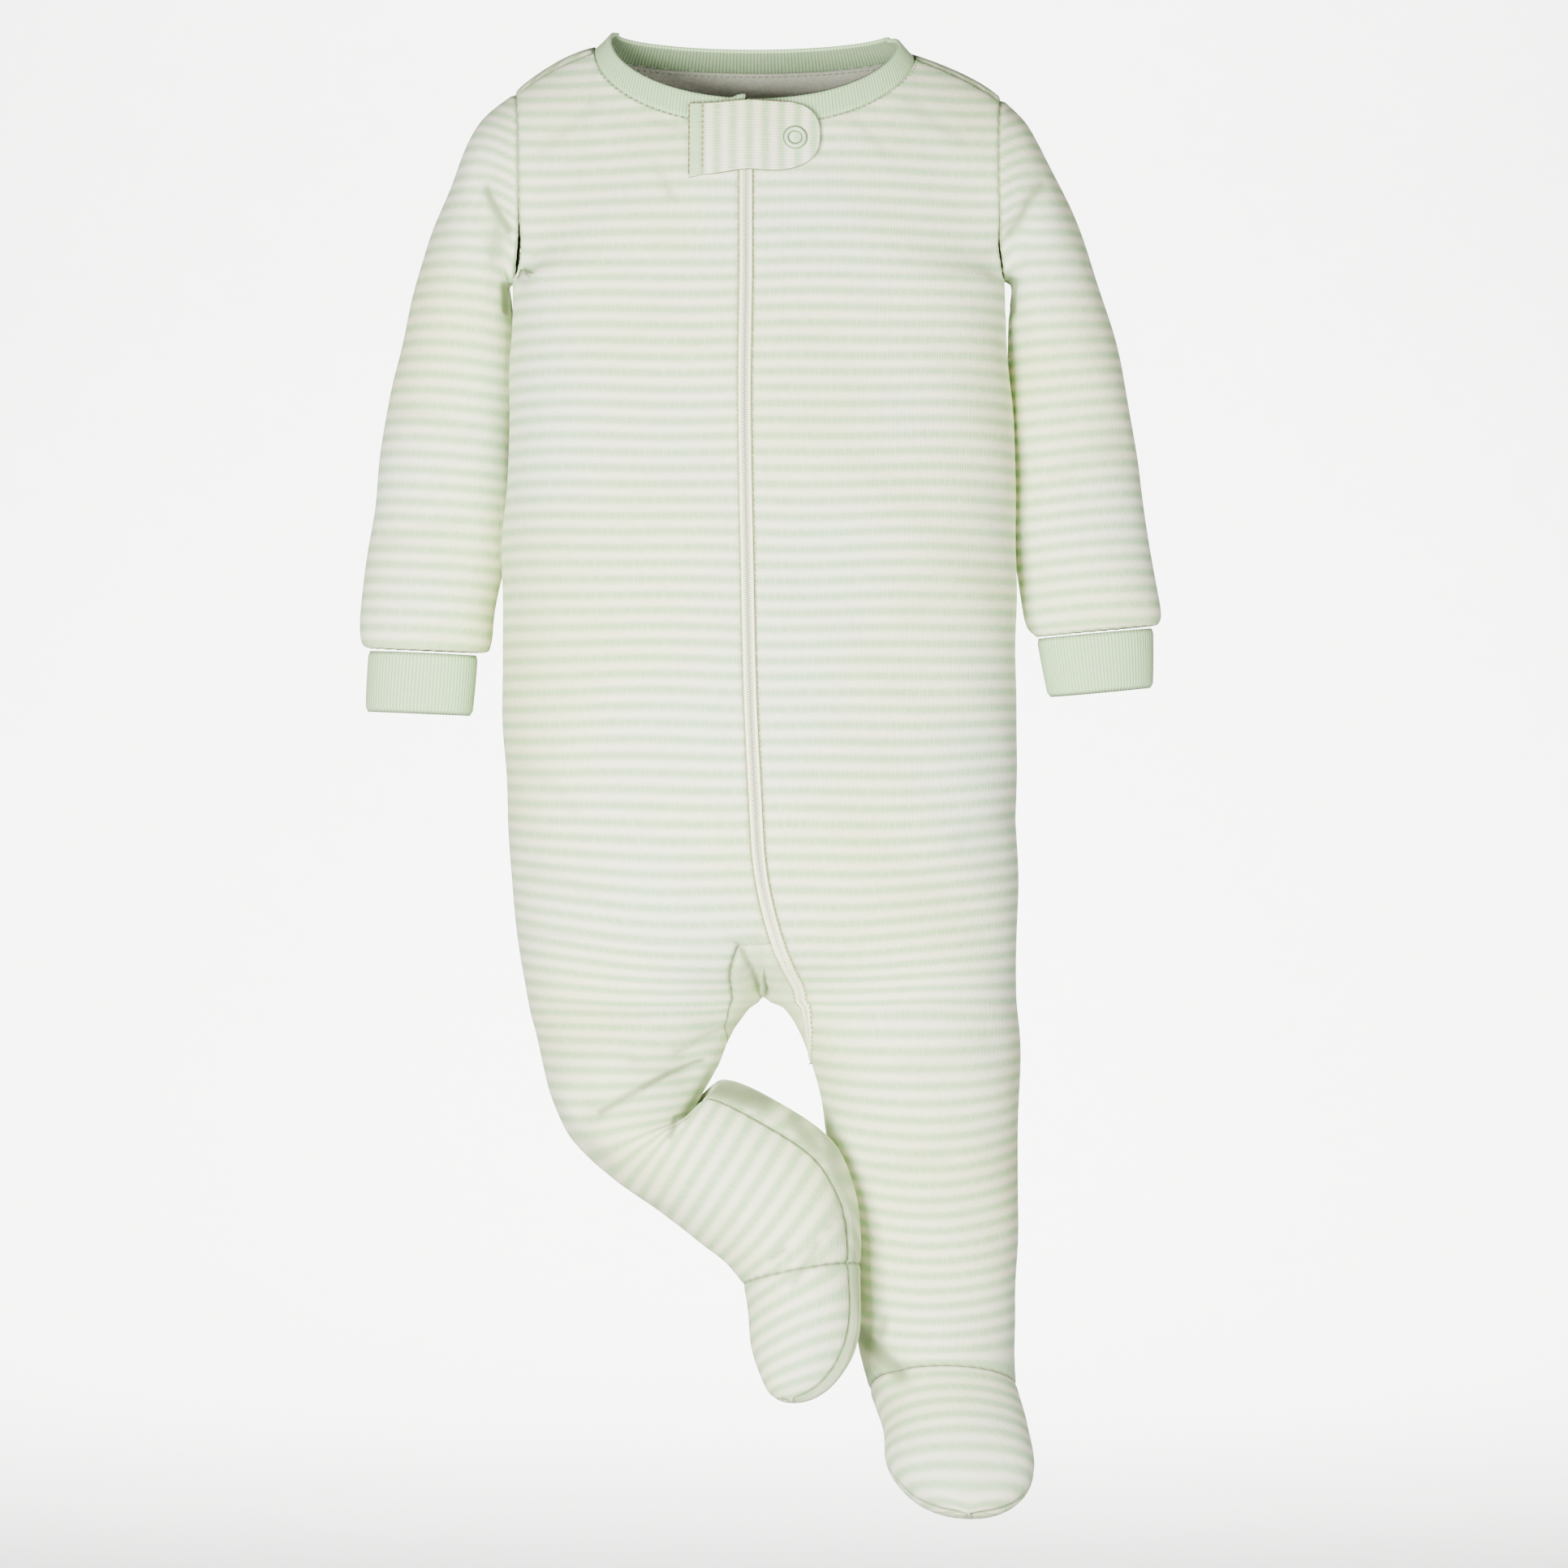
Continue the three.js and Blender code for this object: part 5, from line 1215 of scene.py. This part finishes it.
# Painted shade where the ring bites into the cloth: a thin deeper rim on both sides of it, in a dark copy of
# the enamel
rim = [(inner - 0.55, guardTop - 0.1), (inner - 0.35, guardTop + 0.15),
       (outer + 0.35, guardTop + 0.15), (outer + 0.55, guardTop - 0.1)]
attach(turnedRing("snap_ring_rim_painted_shade", snapFrame, rim, snapShade))
metals = {"zip_slider": sliderPaint, "zip_pull": sliderPaint, "snap_stud": snapEnamel}
for name, material in metals.items():
    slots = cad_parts[name].data.materials
    slots.clear()
    slots.append(material)
print("snap and slider made")


# The six rings of a stitch: their share of its length, their girth and their height, both in radii
capsule = np.array([
    (0, 0.15, -0.6), (0.12, 0.7, -0.1), (0.35, 1, 0.25), (0.65, 1, 0.25), (0.88, 0.7, -0.1), (1, 0.15, -0.6),
])


# Length, gap and radius of the stitches of each seam, and of the painted shadow line along the tab's edges
stitchSizes = {"neck": (1.7, 1.0, 0.3), "inside": (1.6, 1.1, 0.28), "end": (1.5, 0.9, 0.22),
               "zip": (1.7, 0.5, 0.2), "tab": (1.5, 0.9, 0.32), "edge": (2.4, 0.0, 0.32)}


# Machine stitches: one small capsule for each stitch, laid along a path on the cloth
def stitches(name, path, normals, size, material):
    length, gap, radius = stitchSizes[size]
    run = distanceAlong(path, 0)
    at = np.arange(length, run[-1] - length, length + gap)
    start, end = sampled(path, run, at - length / 2), sampled(path, run, at + length / 2)
    out = unit(sampled(normals, run, at))
    ahead = end - start
    side = unit(np.cross(ahead, out))
    share, girth, arch = capsule.T[..., None]
    girth, arch = girth * radius, arch * radius
    turn = np.linspace(0, 2 * np.pi, 6, endpoint=False)[:, None]
    middle = start[:, None] + ahead[:, None] * share + out[:, None] * arch
    around = (np.cos(turn) * side[:, None] + np.sin(turn) * out[:, None])[:, None] * girth[:, None]
    one = tubeFaces(6, 6)
    faces = [[corner + 36 * k for corner in face] for k in range(len(at)) for face in one]
    attach(solidObject(name, middle[:, :, None] + around, faces, [material]))


inFront = neckPath[:, 1] < 0
below = neckPath - neckRise * 1.6 + neckNormal * 0.25
leftHalf = np.arange(len(neckPath)) < len(neckPath) // 2
for name, chosen in (("left", inFront & leftHalf), ("right", inFront & ~leftHalf)):
    facing = unit(neckNormal[chosen] + (0, -0.6, 0))
    stitches(f"neck_stitches_{name}", below[chosen], facing, "neck", greenThread)
# The seam that holds the band's seam allowance down inside the back
behind = neckPath[:, 1] > 2
inside = neckPath[behind] - neckRise[behind] * 1.2 - neckNormal[behind] * 2.1
stitches("neck_stitches_inside", inside, -neckNormal[behind], "inside", greenThread)
# Across the band's folded end, beside the zip
rise, normal = neckRise[-6], neckNormal[-6]
ending = neckPath[-6] + rise * np.linspace(-0.4, 12.2, 12)[:, None] + normal * 0.85
stitches("neckband_end_stitches", ending, np.tile(normal, (12, 1)), "end", greenThread)
# Both edges of the zip are sewn down just outside the piping
for name, side in sides.items():
    line = zipPlace(zipLevels, side * zipLook["sewn"]) - (zipSink - 0.1) * zipNormal
    stitches(f"zip_stitches_{name}", line, zipNormal, "zip", tanThread)
# The tab's folded end is sewn across
down = np.linspace(guard["middleZ"] + guard["halfHeight"], guard["middleZ"] - guard["halfHeight"], 40)
line, normals, across, level = onFront(guard["foldX"], down)
line = line + normals * (guardLift(line) + 0.12)[:, None]
stitches("chin_guard_stitches", line, normals, "tab", tanThread)
# A painted shadow line of the folded cloth along the tab's left and upper edges
stitches("chin_guard_edge_painted_shadow", guardShadowLine, guardOut, "edge", tabEdgeShade)
print("stitches made")

for name, (piece, heldOn) in cloth.items():
    width, length, area = flatCuts[name]
    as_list(heldOn)

# Camera at the photograph's angle: level, square on to the front
camera = bpy.data.objects.new("camera", bpy.data.cameras.new("camera"))
view = {"place": (0.0102, -2.6, -0.308), "tilt": 90, "lens": 142.5, "sensor": 36}
camera.location = view["place"]
camera.rotation_euler = (math.radians(view["tilt"]), 0, 0)
camera.data.lens = view["lens"]
camera.data.sensor_width = view["sensor"]
camera.data.sensor_fit = "HORIZONTAL"
bpy.context.scene.collection.objects.link(camera)
bpy.context.scene.camera = camera

# A plain pale floor that rises into a round wall far outside every camera
studio = {"floorZ": -0.95, "flat": 4.5, "wall": 6.0, "height": 5.0, "colour": "#C6C6C4", "glow": 0.05}
turn = np.linspace(0, 2 * np.pi, 97)[:-1]
bend = np.linspace(0, np.pi / 2, 13)
curve = studio["wall"] - studio["flat"]
radius = np.concatenate([[0.01, 1.5, 3.0], studio["flat"] + curve * np.sin(bend), [studio["wall"]]])[:, None]
height = np.concatenate([[0, 0, 0], curve * (1 - np.cos(bend)), [studio["height"]]])[:, None]
points = xyz(radius * np.cos(turn), radius * np.sin(turn), studio["floorZ"] + height)
faces = tubeFaces(*points.shape[:2])[:-1]  # open at the top
paperMaterial = grainMaterial("matt_studio_paper", studio["colour"], "#C3C3C1", 40, 0.0, Roughness=0.95)
glow = paperMaterial.node_tree.nodes["Principled BSDF"].inputs
glow["Emission Color"].default_value = linear(studio["colour"])
glow["Emission Strength"].default_value = studio["glow"]
floor = meshObject("studio_floor", points.reshape(-1, 3) / mm, faces, None, [paperMaterial])

lights = {
    "key": {"place": (-0.42, -1.2, -0.38), "aim": (0, 0, -0.3), "size": 0.45, "power": 26, "spread": 120},
    "fill": {"place": (0.8, -1.2, -0.36), "aim": (0, 0, -0.3), "size": 0.5, "power": 10.5, "spread": 140},
    "rim": {"place": (0.3, 2.0, 0.5), "aim": (0, 0, -0.3), "size": 1.2, "power": 6, "spread": 100},
    "wall": {"place": (0, 3.2, 2.4), "aim": (0, 5.3, -0.8), "size": 2.2, "power": 800, "spread": 110},
    "frontWall": {"place": (0, -3.4, 2.6), "aim": (0, -6.0, -0.3), "size": 2.0, "power": 60, "spread": 90},
}
for name, light in lights.items():
    data = bpy.data.lights.new(name, "AREA")
    data.energy, data.size, data.spread = light["power"], light["size"], math.radians(light["spread"])
    lamp = bpy.data.objects.new(name, data)
    lamp.location = light["place"]
    lamp.visible_camera = False
    aim = np.array(light["aim"]) - light["place"]
    flat = math.hypot(aim[0], aim[1])
    lamp.rotation_euler = (math.atan2(flat, -aim[2]), 0, math.atan2(-aim[0], aim[1]))
    bpy.context.scene.collection.objects.link(lamp)
world = bpy.data.worlds.new("studio")
world.use_nodes = True
world.node_tree.nodes["Background"].inputs[0].default_value = linear("#FFFFFF")
world.node_tree.nodes["Background"].inputs[1].default_value = 0.06
bpy.context.scene.world = world
print("studio ready")
